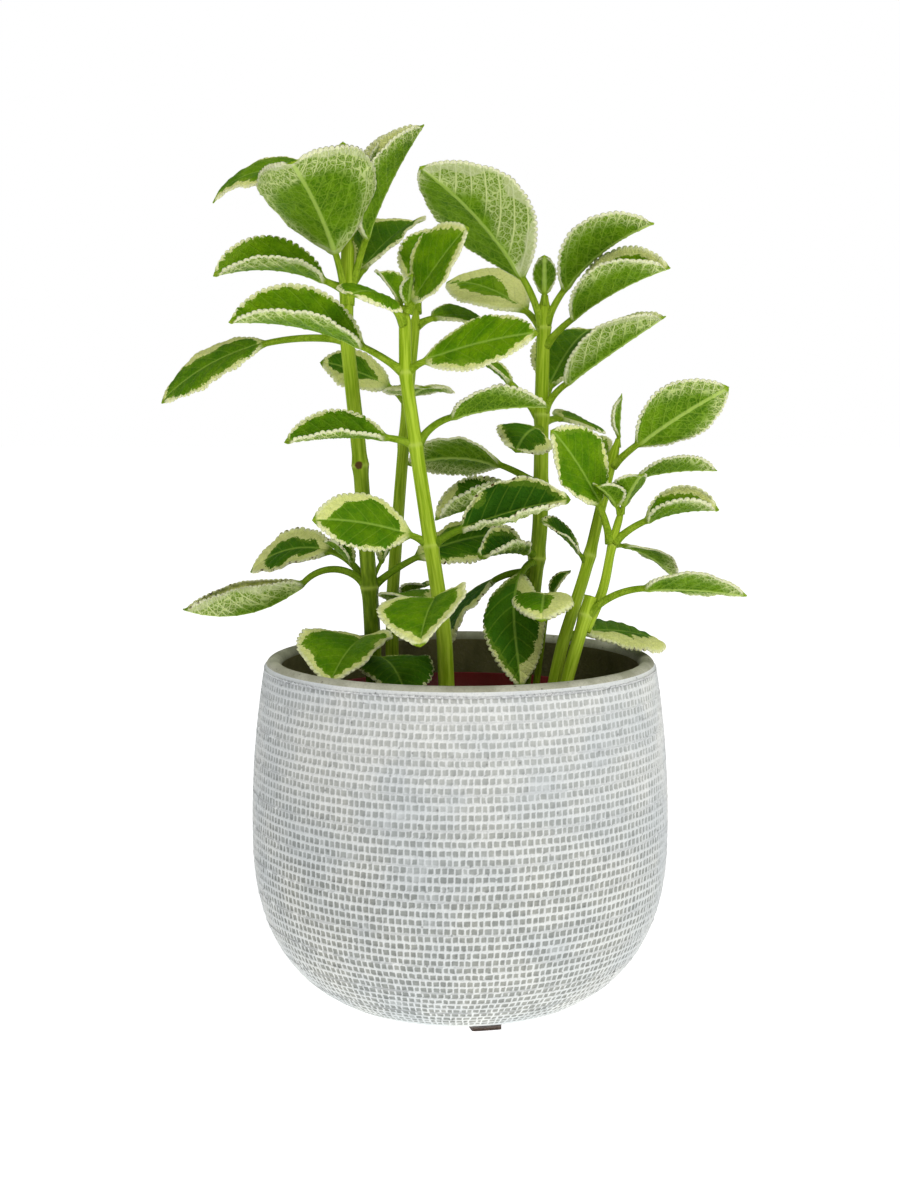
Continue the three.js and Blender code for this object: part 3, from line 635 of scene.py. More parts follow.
def stem_line(stem, z):
    """The same line with its corners rounded off."""
    path = stem["path"]
    reach = np.minimum(9.0, np.minimum(z - path[0][2], path[-1][2] - z)).clip(0)
    taps = np.linspace(-1, 1, 9)
    weight = 1 - np.abs(taps) * 0.8
    total = sum(w * stem_point(stem, z + t * reach)[0] for t, w in zip(taps, weight))
    return total / weight.sum()


SIDES = 28
NODE_SWELL = 0.16
STEM_STEP = 1.6  # between rings, with closer ones by a node
NODE_STEPS = (-1.4, -0.9, -0.55, -0.3, 0, 0.3, 0.55, 0.9, 1.4)
ANY_TURN = 6.28  # the range of a random start angle


def add_stem(parts, stem, rng, age_of):
    low, high = stem["path"][0][2], stem["path"][-1][2]
    heights = list(np.arange(low, high, STEM_STEP)) + [high]
    for node in stem["nodes"]:
        heights += [node + d for d in NODE_STEPS]
    z = np.array(sorted(h for h in set(np.round(heights, 3)) if low <= h <= high))
    z = z[np.concatenate([[True], np.diff(z) > 0.12])]
    centre = stem_line(stem, z)
    _, radius = stem_point(stem, z)
    tangent = np.gradient(centre, axis=0)
    tangent /= np.linalg.norm(tangent, axis=1)[:, None]
    side = np.cross((0, 1, 0), tangent)
    side /= np.linalg.norm(side, axis=1)[:, None]
    other = np.cross(tangent, side)

    ring = np.zeros(len(z))
    swell = np.ones(len(z))
    for node in stem["nodes"]:
        swell += NODE_SWELL * np.exp(-(((z - node) / 2.6) ** 2))
        ring = np.maximum(ring, np.exp(-(((z - node) / 0.8) ** 2)))
        swell += 0.05 * np.exp(-(((z - node) / 0.4) ** 2))
    if not stem.get("cut"):
        swell *= 1 - 0.45 * smooth(high - 6, high, z)
    turn = np.arange(SIDES) * 2 * np.pi / SIDES
    twist = rng.uniform(0, ANY_TURN)
    lobes = 1 + 0.045 * np.cos(4 * (turn + twist)) + 0.012 * np.cos(12 * turn + 1.3)
    wobble = 1 + 0.02 * np.sin(z[:, None] * 0.11 + turn[None] + twist)
    r = radius[:, None] * swell[:, None] * lobes[None] * wobble
    points = (
        centre[:, None]
        + side[:, None] * (r * np.cos(turn))[..., None]
        + other[:, None] * (r * np.sin(turn))[..., None]
    )
    flat = points.reshape(-1, 3)
    count = len(flat)
    tip = tangent[-1] * (0.2 if stem.get("cut") else 1.2)
    ends = [flat[:SIDES].mean(0), flat[-SIDES:].mean(0) + tip]
    quads = ring_quads(len(z), SIDES)
    tris = np.concatenate([
        fan(SIDES, 0, count, True),
        fan(SIDES, (len(z) - 1) * SIDES, count + 1, False),
    ])
    grid_z = np.repeat(z, SIDES)
    round_at = np.abs(np.tile(((turn / np.pi) + 1) % 2 - 1, len(z))) * 9.0
    at = np.stack([round_at, grid_z, np.repeat(ring, SIDES)], -1)
    at = np.concatenate([at, [[0, low, 0], [0, high, 0]]])
    scar = np.zeros(count + 2)
    if stem.get("cut"):
        scar[-1] = 1.0
        scar[-SIDES - 2:-2] = 0.55
    for middle, size in stem.get("scars", ()):
        away = np.linalg.norm(flat - np.array(middle), axis=1)
        scar[:count] = np.maximum(scar[:count], np.exp(-((away / size) ** 2)))
    kind = np.stack([
        np.full(count + 2, rng.uniform(0, 90)),
        np.append(age_of(grid_z), [0, 0]),
        scar,
    ], -1)
    parts.add(np.concatenate([flat, ends]), quads, tris, 0, stem_at=at, stem_kind=kind)


# ---------------------------------------------------------------- leaves
TOOTH = 2.25  # along the margin
TOOTH_STOPS = (0.0, 0.18, 0.4, 0.62, 0.84)
TOOTH_DEEP = 0.85
BLADE_HALF_T = 0.5
SMALL_LEAF = 19  # narrower than this, a leaf is a bud leaf with less detail
MIDLINE_STEP = 0.5
SECTION_STEPS = 60
ROLL_FROM = 0.62  # where the margin's roll starts, as a share of the half width


def half_width(v, width):
    a, b = BLADE_BASE_POW, BLADE_TIP_POW
    peak = (a / (a + b)) ** a * (b / (a + b)) ** b
    v = np.clip(v, 0, 1)
    return (width / 2) * v**a * (1 - v) ** b / peak


def add_leaf(parts, stem, row, rng, age, cream, margin_roll):
    z, azimuth, pitch_foot, pitch_blade, pitch_tip = row[:5]
    stalk, blade, width, fold, curl, roll, bend = row[5:]
    start, radius = stem_point(stem, np.array(float(z)))
    small = width < SMALL_LEAF

    total = stalk + blade
    n = int(total / MIDLINE_STEP)
    s = np.linspace(0, total, n + 1)

    def way(length):
        pitch = np.where(
            length < stalk,
            pitch_foot + (pitch_blade - pitch_foot) * np.clip(length / stalk, 0, 1),
            pitch_blade + (pitch_tip - pitch_blade) * np.clip((length - stalk) / blade, 0, 1),
        )
        turn = azimuth + bend * np.clip((length - stalk) / blade, 0, 1)
        pitch, turn = np.radians(pitch), np.radians(turn)
        tangent = np.stack([
            np.cos(pitch) * np.cos(turn), np.cos(pitch) * np.sin(turn), np.sin(pitch)], -1)
        return tangent, turn

    heading = np.array([math.cos(math.radians(azimuth)), math.sin(math.radians(azimuth)), 0])
    middle_way, _ = way((s[1:] + s[:-1]) / 2)
    line = start + heading * radius * STALK_ROOT + np.concatenate(
        [np.zeros((1, 3)), np.cumsum(middle_way * (total / n), axis=0)])

    # stations: along the stalk, then by equal steps round the margin so that teeth come out even
    v_fine = np.linspace(0, 1, 1200)
    outline = half_width(v_fine, width)
    arc = np.concatenate([[0], np.cumsum(np.hypot(np.diff(outline), np.diff(v_fine * blade)))])
    teeth = max(5, int(round(arc[-1] / (TOOTH * (0.8 if small else 1.0)))))
    stops = np.array([(k + f) / teeth for k in range(teeth) for f in TOOTH_STOPS] + [1.0])
    v = np.interp(stops * arc[-1], arc, v_fine)
    lobe = np.array([max(0.0, math.sin(math.pi * f)) ** 0.5 for f in TOOTH_STOPS] * teeth + [0.0])
    slope = np.gradient(half_width(v_fine, width), v_fine * blade)
    slope = np.interp(v, v_fine, np.clip(slope, -8, 8))
    out_x, out_y = 1 / np.sqrt(1 + slope**2), -slope / np.sqrt(1 + slope**2)

    stalk_stops = np.linspace(0, stalk, max(6, int(stalk / 1.5)), endpoint=False)
    length = np.concatenate([stalk_stops, stalk + v * blade])
    m = len(length)
    on_blade = np.arange(m) >= len(stalk_stops)
    grow = np.concatenate([np.zeros(len(stalk_stops)), v])
    at = np.stack([np.interp(length, s, line[:, k]) for k in range(3)], -1)
    tangent, turn = way(length)
    flat = np.stack([-np.sin(turn), np.cos(turn), np.zeros(m)], -1)
    up = np.cross(tangent, flat)
    tilt = np.radians(roll) * np.clip(length / stalk, 0, 1)[:, None]
    side = flat * np.cos(tilt) + up * np.sin(tilt)
    normal = np.cross(tangent, side)

    stalk_r = STALK_R + (STALK_R_END - STALK_R) * np.clip(length / stalk, 0, 1)
    scale = 0.62 if small else 1.0
    stalk_r = stalk_r * scale * (1 + 0.35 * np.exp(-((length / 3.0) ** 2)))
    blade_half = np.where(on_blade, half_width(grow, width), 0)
    half = np.sqrt(stalk_r**2 * (1 - smooth(0.02, 0.3, grow)) + blade_half**2)
    half = np.maximum(half, 0.12)
    thick = stalk_r + (BLADE_HALF_T * (0.75 if small else 1.0) - stalk_r) * np.clip(grow * 6, 0, 1)
    thick = thick * (1 - 0.5 * smooth(0.9, 1.0, grow))

    columns = 8 if small else 12
    t = np.linspace(0, 1, columns + 1)
    u_half = t - 0.085 * np.sin(2 * np.pi * t)
    u = np.concatenate([u_half[::-1], -u_half[1:]])
    mag = np.abs(u)
    open_ = np.clip((half - stalk_r) / 3, 0, 1)

    # cross-section: fold at the midrib, curl towards the margin, and a rolled margin
    fine = np.linspace(0, 1, SECTION_STEPS + 1)
    lean_fine = open_[:, None] * (
        fold + curl * fine[None] + margin_roll * smooth(ROLL_FROM, 1.0, fine)[None] ** 1.5)
    wave = rng.uniform(0, ANY_TURN, 2)
    long_wave = (5 + 9 * age) * np.sin(length * 0.33 + wave[0])
    ripple = long_wave + (3 + 4 * age) * np.sin(length * 0.8 + wave[1])
    ripple = ripple[:, None] * fine[None] ** 2 * open_[:, None]
    sections = []
    for sign in (1, -1):
        lean = np.radians(lean_fine + ripple * (1 if sign > 0 else -0.7))
        step = fine[1] * half[:, None]
        mid = (lean[:, 1:] + lean[:, :-1]) / 2
        run = np.concatenate([np.zeros((m, 1)), np.cumsum(np.cos(mid) * step, axis=1)], 1)
        rise = np.concatenate([np.zeros((m, 1)), np.cumsum(np.sin(mid) * step, axis=1)], 1)
        sections.append((lean, run, rise))
    place = mag * SECTION_STEPS
    k0 = np.minimum(place.astype(int), SECTION_STEPS - 1)
    part = place - k0

    def pick(which):
        right, left = (
            half_section[which][:, k0] * (1 - part) + half_section[which][:, k0 + 1] * part
            for half_section in sections)
        return np.where(u[None] >= 0, right, left)

    lean, run, rise = pick(0), pick(1), pick(2)
    sign = np.sign(u)[None] * np.ones((m, 1))

    # teeth push the margin out along its own normal
    near = smooth(0.72, 1.0, mag)[None] ** 2
    tooth = np.zeros((m, len(u)))
    fade = smooth(0.03, 0.12, grow) * (1 - 0.6 * smooth(0.93, 1.0, grow)) * np.clip(half / 5, 0, 1)
    jitter = {way_sign: rng.uniform(0.65, 1.3, teeth + 1) for way_sign in (1, -1)}
    tooth_share = 0.7 if small else 1
    which_tooth = np.minimum((stops * teeth).astype(int), teeth)
    for way_sign in (1, -1):
        deep = np.zeros(m)
        deep[on_blade] = (lobe - 0.5) * jitter[way_sign][which_tooth] * TOOTH_DEEP * tooth_share
        cols = u * way_sign > 0
        tooth[:, cols] = (deep * fade)[:, None] * near[:, cols]
    nx = np.concatenate([np.ones(len(stalk_stops)), out_x])[:, None]
    ny = np.concatenate([np.zeros(len(stalk_stops)), out_y])[:, None]
    run = run + tooth * nx * np.cos(lean)
    rise = rise + tooth * nx * np.sin(lean)
    forward = tooth * ny

    across_mm = mag[None] * half[:, None]
    along_mm = (length - stalk)[:, None] * np.ones((1, len(u)))
    gap = max(3.6, blade / 7.6)
    drift = across_mm * (0.75 + 0.02 * across_mm)
    phase = (along_mm - drift * np.where(u > 0, 1.0, 1.12)[None]) / gap + rng.uniform(0, 0.3)
    beside = np.abs(phase - np.floor(phase) - 0.5)
    edge = (half[:, None] - across_mm) * nx
    quilt_size = (0.55 if not small else 0.25) * (1 + 0.5 * age)
    bulge = (np.clip(beside * 2, 0, 1) ** 0.65 - 0.55) * quilt_size
    bulge *= smooth(0.5, 4.0, across_mm) * smooth(0.0, 3.0, edge) * smooth(0.02, 0.2, grow)[:, None]
    vein = np.exp(-((beside * gap / 0.55) ** 2)) * smooth(0.3, 2.5, edge)
    vein = vein * smooth(0.05, 0.2, grow)[:, None]
    rib = np.exp(-(across_mm**2)) * (1 - 0.75 * grow)[:, None] * smooth(0.0, 0.08, grow)[:, None]

    shape = 2.0 + 3.0 * smooth(0.0, 0.15, grow)[:, None]
    body = thick[:, None] * (1 - mag[None] ** shape).clip(0) ** (1 / shape)
    bead = 0.16 * near * (np.concatenate([np.zeros(len(stalk_stops)), lobe]) * fade)[:, None]
    top = body * (1 + bead) - 0.35 * rib + bulge - 0.08 * vein
    bottom = -body - 0.75 * rib * (0.6 if small else 1) + bulge - 0.22 * vein

    def surface(offset):
        x = sign * (run - offset * np.sin(lean))
        y = rise + offset * np.cos(lean)
        return (
            at[:, None]
            + tangent[:, None] * forward[..., None]
            + side[:, None] * x[..., None]
            + normal[:, None] * y[..., None]
        )

    over, under_side = surface(top), surface(bottom)
    ring = np.concatenate([over, under_side[:, -2:0:-1]], axis=1)
    count = ring.shape[1]

    def spread(values):
        return np.concatenate([values, values[:, -2:0:-1]], axis=1)

    under = np.concatenate([np.zeros((m, len(u))), np.ones((m, count - len(u)))], axis=1)
    under[:, 0] = under[:, len(u) - 1] = 0.5
    past_stalk = smooth(-1.0, 5.0, length - stalk) * smooth(0.6, 2.2, half - stalk_r)
    stalk_share = 1 - past_stalk[:, None]
    stalk_share = spread(np.maximum(stalk_share, 0) * np.ones((1, len(u))))
    signed = spread(across_mm * np.sign(u)[None])
    leaf_at = np.stack([signed, spread(along_mm), spread(np.maximum(edge, 0))], -1)
    leaf_way = np.stack([spread(phase), under, stalk_share], -1)
    kind = np.stack([
        np.full(signed.shape, rng.uniform(0, 400)), np.full(signed.shape, age),
        np.where(signed > 0, cream[0], cream[1])], -1)
    flat_points = ring.reshape(-1, 3)
    caps = [flat_points[:count].mean(0), flat_points[-count:].mean(0) + tangent[-1] * 0.25]
    total_points = m * count
    tris = np.concatenate([
        fan(count, 0, total_points, True), fan(count, (m - 1) * count, total_points + 1, False)])

    def ends(values):
        values = values.reshape(-1, 3)
        return np.concatenate([values, values[:1], values[-1:]])

    parts.add(
        np.concatenate([flat_points, caps]), ring_quads(m, count), tris, 0,
        leaf_at=ends(leaf_at), leaf_way=ends(leaf_way), leaf_kind=ends(np.array(kind)),
    )


def shoot(letter, materials):
    rng = np.random.default_rng(ord(letter) * 7 + 3)
    stem = dict(STEMS[letter], scars=SCARS.get(letter, ()))
    leaf_parts = Parts(("leaf_at", "leaf_way", "leaf_kind"))
    stem_parts = Parts(("stem_at", "stem_kind"))
    dark = STEM_AGE[letter]
    add_stem(stem_parts, stem, rng, lambda z: dark * (1 - smooth(*STEM_FRESH, z) * 0.85))
    if letter == SIDE_SHOOT["on"]:
        add_stem(stem_parts, SIDE_SHOOT, rng, lambda z: np.full(len(z), SIDE_SHOOT_AGE))
    for name, row in LEAVES[letter].items():
        on_side = name.startswith("side_") and letter == SIDE_SHOOT["on"]
        key = f"{letter}_{name}"
        age = float(np.clip((215 - row[0]) / 75, 0, 1)) * rng.uniform(0.75, 1.0)
        if letter in "ef":
            age *= 0.35
        age = LEAF_AGE_AND_SHADE.get(key, age)
        cream = np.array(CREAM.get(key, (rng.uniform(1.0, 2.2), rng.uniform(1.0, 2.2))), float)
        if row[7] < SMALL_LEAF:
            cream = cream * 0.7
        margin = MARGIN_ROLL.get(key, rng.uniform(-12, 12))
        add_leaf(leaf_parts, SIDE_SHOOT if on_side else stem, row, rng, age, cream, margin)
    kinds = ("leaves", leaf_parts, materials[0]), ("stem", stem_parts, materials[1])
    for kind, parts, material in kinds:
        piece = parts.make(f"shoot_{letter}_{kind}", [material])
        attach(piece, "root")
        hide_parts(f"shoot_{letter}")


# ---------------------------------------------------------------- planter
def belly_radius(z):
    z = np.asarray(z, float)
    over = (z - WIDEST_Z) / (PLANTER_H - WIDEST_Z)
    upper = PLANTER_R - (PLANTER_R - RIM_R) * over**2
    below = np.clip((WIDEST_Z - z) / (WIDEST_Z + BELLY_DROP), 0, 1)
    lower = PLANTER_R * (1 - below**BELLY_DOWN) ** (1 / BELLY_OUT)
    return np.where(z >= WIDEST_Z, upper, lower)


def zipper(low_angles, high_angles, low_first, high_first):
    """Triangles between two rings of different point counts, both sorted by angle."""
    tris = []
    i = j = 0
    n, k = len(low_angles), len(high_angles)
    low = np.append(low_angles, low_angles[0] + 2 * np.pi)
    high = np.append(high_angles, high_angles[0] + 2 * np.pi)
    while i < n or j < k:
        if j == k or (i < n and low[i + 1] <= high[j + 1]):
            tris.append((low_first + i % n, low_first + (i + 1) % n, high_first + j % k))
            i += 1
        else:
            tris.append((low_first + i % n, high_first + (j + 1) % k, high_first + j % k))
            j += 1
    return tris


CELL_W = 2.45
ROW_H = 3.15
RELIEF = (3.2, 128.0)  # heights between which the rows of cells run
PIT_SIDE = 0.2  # the ridge at each side of a cell, as a share of its width
PIT_DEEP = 0.5
GROUP = 4  # rows that have the same number of cells
SMOOTH_SIDES = 180
BASE_Z = 0.35
INNER_RINGS = (125, 118, 110, 100, 88, 76, 64, 52, 40, 30, 22, 15, FLOOR + 4)
OUTSIDE, BARE, INSIDE = 0, 1, 2  # the planter's material slots


def cement_planter(materials):
    """Outside with rows of sunk cells, smooth foot, rounded rim and inner wall, as one body."""
    rng = np.random.default_rng(11)
    fine = np.linspace(RELIEF[0], RELIEF[1], 2000)
    arc = np.concatenate([[0], np.cumsum(np.hypot(np.diff(fine), np.diff(belly_radius(fine))))])
    rows = int(round(arc[-1] / ROW_H))
    points, attributes, quads, tris, quad_slot, tri_slot = [], [], [], [], [], []
    count = 0
    last = None  # (angles, first index) of the ring below

    def ring(angles, radius, z, cell, slot, join=True):
        nonlocal count, last
        radius = np.broadcast_to(radius, angles.shape)
        z = np.broadcast_to(z, angles.shape)
        points.append(np.stack([radius * np.cos(angles), radius * np.sin(angles), z], -1))
        attributes.append(cell)
        first = count
        count += len(angles)
        if last is not None and join:
            if len(last[0]) == len(angles):
                k = len(angles)
                a = last[1] + np.arange(k)
                b = last[1] + (np.arange(k) + 1) % k
                c = first + (np.arange(k) + 1) % k
                d = first + np.arange(k)
                quads.append(np.stack([a, b, c, d], -1))
                quad_slot.append(np.full(k, slot))
            else:
                made = zipper(last[0], angles, last[1], first)
                tris.append(np.array(made))
                tri_slot.append(np.full(len(made), slot))
        last = (angles, first)

    plain = np.arange(SMOOTH_SIDES) * 2 * np.pi / SMOOTH_SIDES

    def plain_ring(radius, z, slot, pit=0.0):
        cell = np.stack([
            np.full(SMOOTH_SIDES, pit), np.full(SMOOTH_SIDES, 0.5),
            np.full(SMOOTH_SIDES, z / PLANTER_H)], -1)
        ring(plain, radius, z, cell, slot)

    foot = float(belly_radius(0)) - 2
    for radius in (6, 24, 40, foot - 1.0):
        plain_ring(radius, BASE_Z, BARE)
    plain_ring(foot - 0.2, BASE_Z + 0.05, BARE)
    plain_ring(foot + 0.9, BASE_Z + 0.6, OUTSIDE)
    plain_ring(float(belly_radius(1.8)), 1.8, OUTSIDE)
    plain_ring(float(belly_radius(2.6)), 2.6, OUTSIDE)

    shift = 0.0
    for k in range(rows):
        z_low = np.interp(k / rows * arc[-1], arc, fine)
        z_high = np.interp((k + 1) / rows * arc[-1], arc, fine)
        if k % GROUP == 0:
            z_mean = np.interp(min(1, (k + GROUP / 2) / rows) * arc[-1], arc, fine)
            cells = int(round(2 * np.pi * float(belly_radius(z_mean)) / CELL_W))
        pitch = 2 * np.pi / cells
        middle = (z_low + z_high) / 2
        wander = 0.16 * (z_high - z_low) * np.sin(np.arange(cells) * pitch * 3 + k * 1.7)
        edges = np.arange(cells) * pitch + shift + rng.normal(0, 0.07, cells) * pitch
        size = rng.uniform(0.85, 1.25, cells)
        left = edges + pitch * PIT_SIDE * size
        right = np.roll(edges, -1) - pitch * PIT_SIDE * rng.uniform(0.85, 1.25, cells)
        right[-1] += 2 * np.pi
        columns = np.stack([edges, left, right], -1).reshape(-1)
        fill = rng.uniform(0, 1, cells)
        blur = np.convolve(np.concatenate([fill[-2:], fill, fill[:2]]), np.ones(5) / 5, "valid")
        bare = np.clip(0.35 + 0.5 * fill + 0.35 * blur, 0, 1)
        deep = PIT_DEEP * rng.uniform(0.7, 1.2, cells) * smooth(0.0, 0.35, bare)
        ridge = np.repeat(rng.normal(0, 0.05, cells), 3)
        cell_value = np.repeat(bare, 3)
        height = np.full(cells * 3, middle / PLANTER_H)
        is_pit = np.tile([0.0, 1.0, 1.0], cells)
        sunk = np.repeat(deep, 3) * is_pit
        if k % GROUP == 0:
            crest = np.stack([np.zeros(cells * 3), cell_value, height], -1)
            z_ring = z_low + 0.12 * np.sin(columns * 9 + k)
            ring(columns, belly_radius(z_low) + ridge, z_ring, crest, OUTSIDE)
        for part in (0.27, 0.73):
            z_ring = z_low + (z_high - z_low) * (part + rng.normal(0, 0.035, cells * 3))
            z_ring = z_ring + np.repeat(wander, 3) * 0.15
            cell = np.stack([is_pit, cell_value, height], -1)
            ring(columns, belly_radius(z_ring) - sunk + ridge * 0.5, z_ring, cell, OUTSIDE)
        shift += rng.uniform(-0.5, 0.5) * pitch * 0.9
        following = columns + rng.normal(0, 0.02, cells * 3) * pitch
        crest = np.stack([np.zeros(cells * 3), cell_value, height], -1)
        z_ring = z_high + 0.12 * np.sin(columns * 9 + k + 1)
        lift = 0.05 + np.repeat(rng.normal(0, 0.04, cells), 3)
        ring(following, belly_radius(z_high) + lift, z_ring, crest, OUTSIDE)

    for z in (127.0, 127.9):
        plain_ring(float(belly_radius(min(z, PLANTER_H))) - 0.05, z, OUTSIDE)
    half = WALL / 2
    for turn in np.radians(np.arange(12, 181, 12)):
        slot = OUTSIDE if turn < np.radians(30) else BARE
        radius = RIM_R - half + half * math.cos(turn)
        plain_ring(radius, PLANTER_H - half + half * math.sin(turn), slot)
    for z in INNER_RINGS:
        plain_ring(float(belly_radius(z)) - WALL, z, INSIDE)
    plain_ring(float(belly_radius(FLOOR + 2)) - WALL - 2, FLOOR + 1.2, INSIDE)
    for radius in (float(belly_radius(FLOOR)) - WALL - 4, 30, 12):
        plain_ring(radius, FLOOR, INSIDE)
    top_first = last[1]
    points.append(np.array([[0, 0, BASE_Z], [0, 0, FLOOR]]))
    attributes.append(np.array([[0, 0.5, 0], [0, 0.5, 0]]))
    tris.append(fan(SMOOTH_SIDES, 0, count, True))
    tri_slot.append(np.full(SMOOTH_SIDES, BARE))
    tris.append(fan(SMOOTH_SIDES, top_first, count + 1, False))
    tri_slot.append(np.full(SMOOTH_SIDES, INSIDE))
    piece = new_piece(
        "cement_planter", np.concatenate(points), np.concatenate(quads), np.concatenate(tris),
        materials, np.concatenate(quad_slot + tri_slot), {"cell_at": np.concatenate(attributes)},
    )
    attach(piece, "root")
    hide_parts("planter")


def lathe(profile, sides):
    """Points and quads of a closed turned body; the profile starts and ends on the axis."""
    turn = np.arange(sides) * 2 * np.pi / sides
    rings = [
        np.stack([r * np.cos(turn), r * np.sin(turn), np.full(sides, z)], -1)
        for r, z in profile[1:-1]
    ]
    points = np.concatenate(rings + [np.array([[0, 0, profile[0][1]], [0, 0, profile[-1][1]]])])
    count = len(rings) * sides
    tris = np.concatenate([
        fan(sides, 0, count, True), fan(sides, (len(rings) - 1) * sides, count + 1, False)])
    return points, ring_quads(len(rings), sides), tris


def nursery_radius(z):
    share = (z - FLOOR) / (NURSERY_RIM_Z - FLOOR)
    return NURSERY_BASE_R + (NURSERY_RIM_R - LIP_OUT - NURSERY_BASE_R) * share


POT_SIDES = 144


def plastic_pot(material):
    foot, lip, w = FLOOR + GAP, NURSERY_RIM_Z - LIP_H, NURSERY_WALL
    rim, top = NURSERY_RIM_R, NURSERY_RIM_Z
    at_foot, at_lip = nursery_radius(foot), nursery_radius(lip)
    body = [(nursery_radius(z), z) for z in np.linspace(foot + 1.2, lip - 0.6, 12)]
    inner = [(nursery_radius(z) - w, z) for z in np.linspace(lip - 1, foot + w + 1, 12)]
    profile = [
        (0, foot), (20, foot), (at_foot - 1.2, foot), (at_foot - 0.3, foot + 0.4),
        *body,
        (at_lip, lip), (rim - 0.5, lip + 0.15), (rim - 0.1, lip + 0.6), (rim, lip + 1.2),
        (rim, top - 1.0), (rim - 0.15, top - 0.3), (rim - 0.55, top), (rim - w + 0.3, top),
        (rim - w, top - 0.4), (rim - w, lip + w), (at_lip - w, lip),
        *inner,
        (at_foot - w - 1, foot + w), (20, foot + w), (0, foot + w),
    ]
    points, quads, tris = lathe(profile, POT_SIDES)
    piece = new_piece("nursery_pot_plastic", points, quads, tris, [material])
    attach(piece, "root")
    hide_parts("nursery_pot")


def value_noise(x, y, seed):
    """Smooth noise over a plane, from a few turned sine waves."""
    rng = np.random.default_rng(seed)
    total = np.zeros_like(x)
    for octave in range(7):
        size = 0.09 * 1.75**octave
        turn, start = rng.uniform(0, ANY_TURN, 2)
        one = np.sin((x * math.cos(turn) + y * math.sin(turn)) * size * 2 + start)
        other = (y * math.cos(turn + 1) - x * math.sin(turn + 1)) * size * 2.3 + start * 2
        total += one * np.sin(other) / 1.35**octave
    return total


CRUMBS = 620


def potting_soil(material):
    rng = np.random.default_rng(5)
    sides, rings = 120, 44
    edge = nursery_radius(SOIL_TOP) - NURSERY_WALL - 2 * GAP
    turn = np.arange(sides) * 2 * np.pi / sides
    radius = edge * (np.linspace(1, 0.02, rings) ** 0.85)
    r = radius[:, None] * np.ones((1, sides))
    x, y = r * np.cos(turn), r * np.sin(turn)
    share = r / edge
    uneven = 0.55 * value_noise(x, y, 8) * smooth(1.0, 0.9, share)
    z = SOIL_TOP - 2 + (SOIL_DOME + 1.6) * (1 - share**2) + uneven
    z = np.minimum(z, SOIL_TOP + SOIL_DOME)
    foot = FLOOR + 2 * GAP + NURSERY_WALL
    wall = []
    for h in (foot, foot + 20, 60, SOIL_TOP - 6):
        reach = nursery_radius(h) - NURSERY_WALL - 2 * GAP
        wall.append(np.stack([reach * np.cos(turn), reach * np.sin(turn), np.full(sides, h)], -1))
    axis = np.array([[0, 0, foot], [0, 0, z[-1].mean()]])
    total = (len(wall) + rings) * sides
    flat = np.concatenate(
        [p.reshape(-1, 3) for p in (*wall, np.stack([x, y, z], -1))] + [axis])
    parts = Parts(())
    tris = np.concatenate([fan(sides, 0, total, True), fan(sides, total - sides, total + 1, False)])
    parts.add(flat, ring_quads(len(wall) + rings, sides), tris)

    # crumbs: small uneven lumps lying on the surface
    golden = (1 + 5**0.5) / 2
    ico = np.array([
        (-1, golden, 0), (1, golden, 0), (-1, -golden, 0), (1, -golden, 0),
        (0, -1, golden), (0, 1, golden), (0, -1, -golden), (0, 1, -golden),
        (golden, 0, -1), (golden, 0, 1), (-golden, 0, -1), (-golden, 0, 1)], float)
    ico /= np.linalg.norm(ico[0])
    ico_tris = np.array([
        (0, 11, 5), (0, 5, 1), (0, 1, 7), (0, 7, 10), (0, 10, 11), (1, 5, 9), (5, 11, 4),
        (11, 10, 2), (10, 7, 6), (7, 1, 8), (3, 9, 4), (3, 4, 2), (3, 2, 6), (3, 6, 8), (3, 8, 9),
        (4, 9, 5), (2, 4, 11), (6, 2, 10), (8, 6, 7), (9, 8, 1)])
    for _ in range(CRUMBS):
        reach, angle = edge * 0.97 * math.sqrt(rng.uniform(0, 1)), rng.uniform(0, ANY_TURN)
        cx, cy = reach * math.cos(angle), reach * math.sin(angle)
        share = reach / edge
        cz = SOIL_TOP - 2 + (SOIL_DOME + 1.6) * (1 - share**2) - 0.3
        size = rng.uniform(0.5, 1.9) * rng.uniform(0.6, 1, 3) * (1, 1, 0.8)
        middle = (cx, cy, min(cz, SOIL_TOP + SOIL_DOME - 0.6))
        lump = ico * size * rng.uniform(0.75, 1.2, (12, 1)) + middle
        parts.add(lump, np.zeros((0, 4)), ico_tris)
    piece = parts.make("potting_soil", [material])
    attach(piece, "root")
    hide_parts("soil")


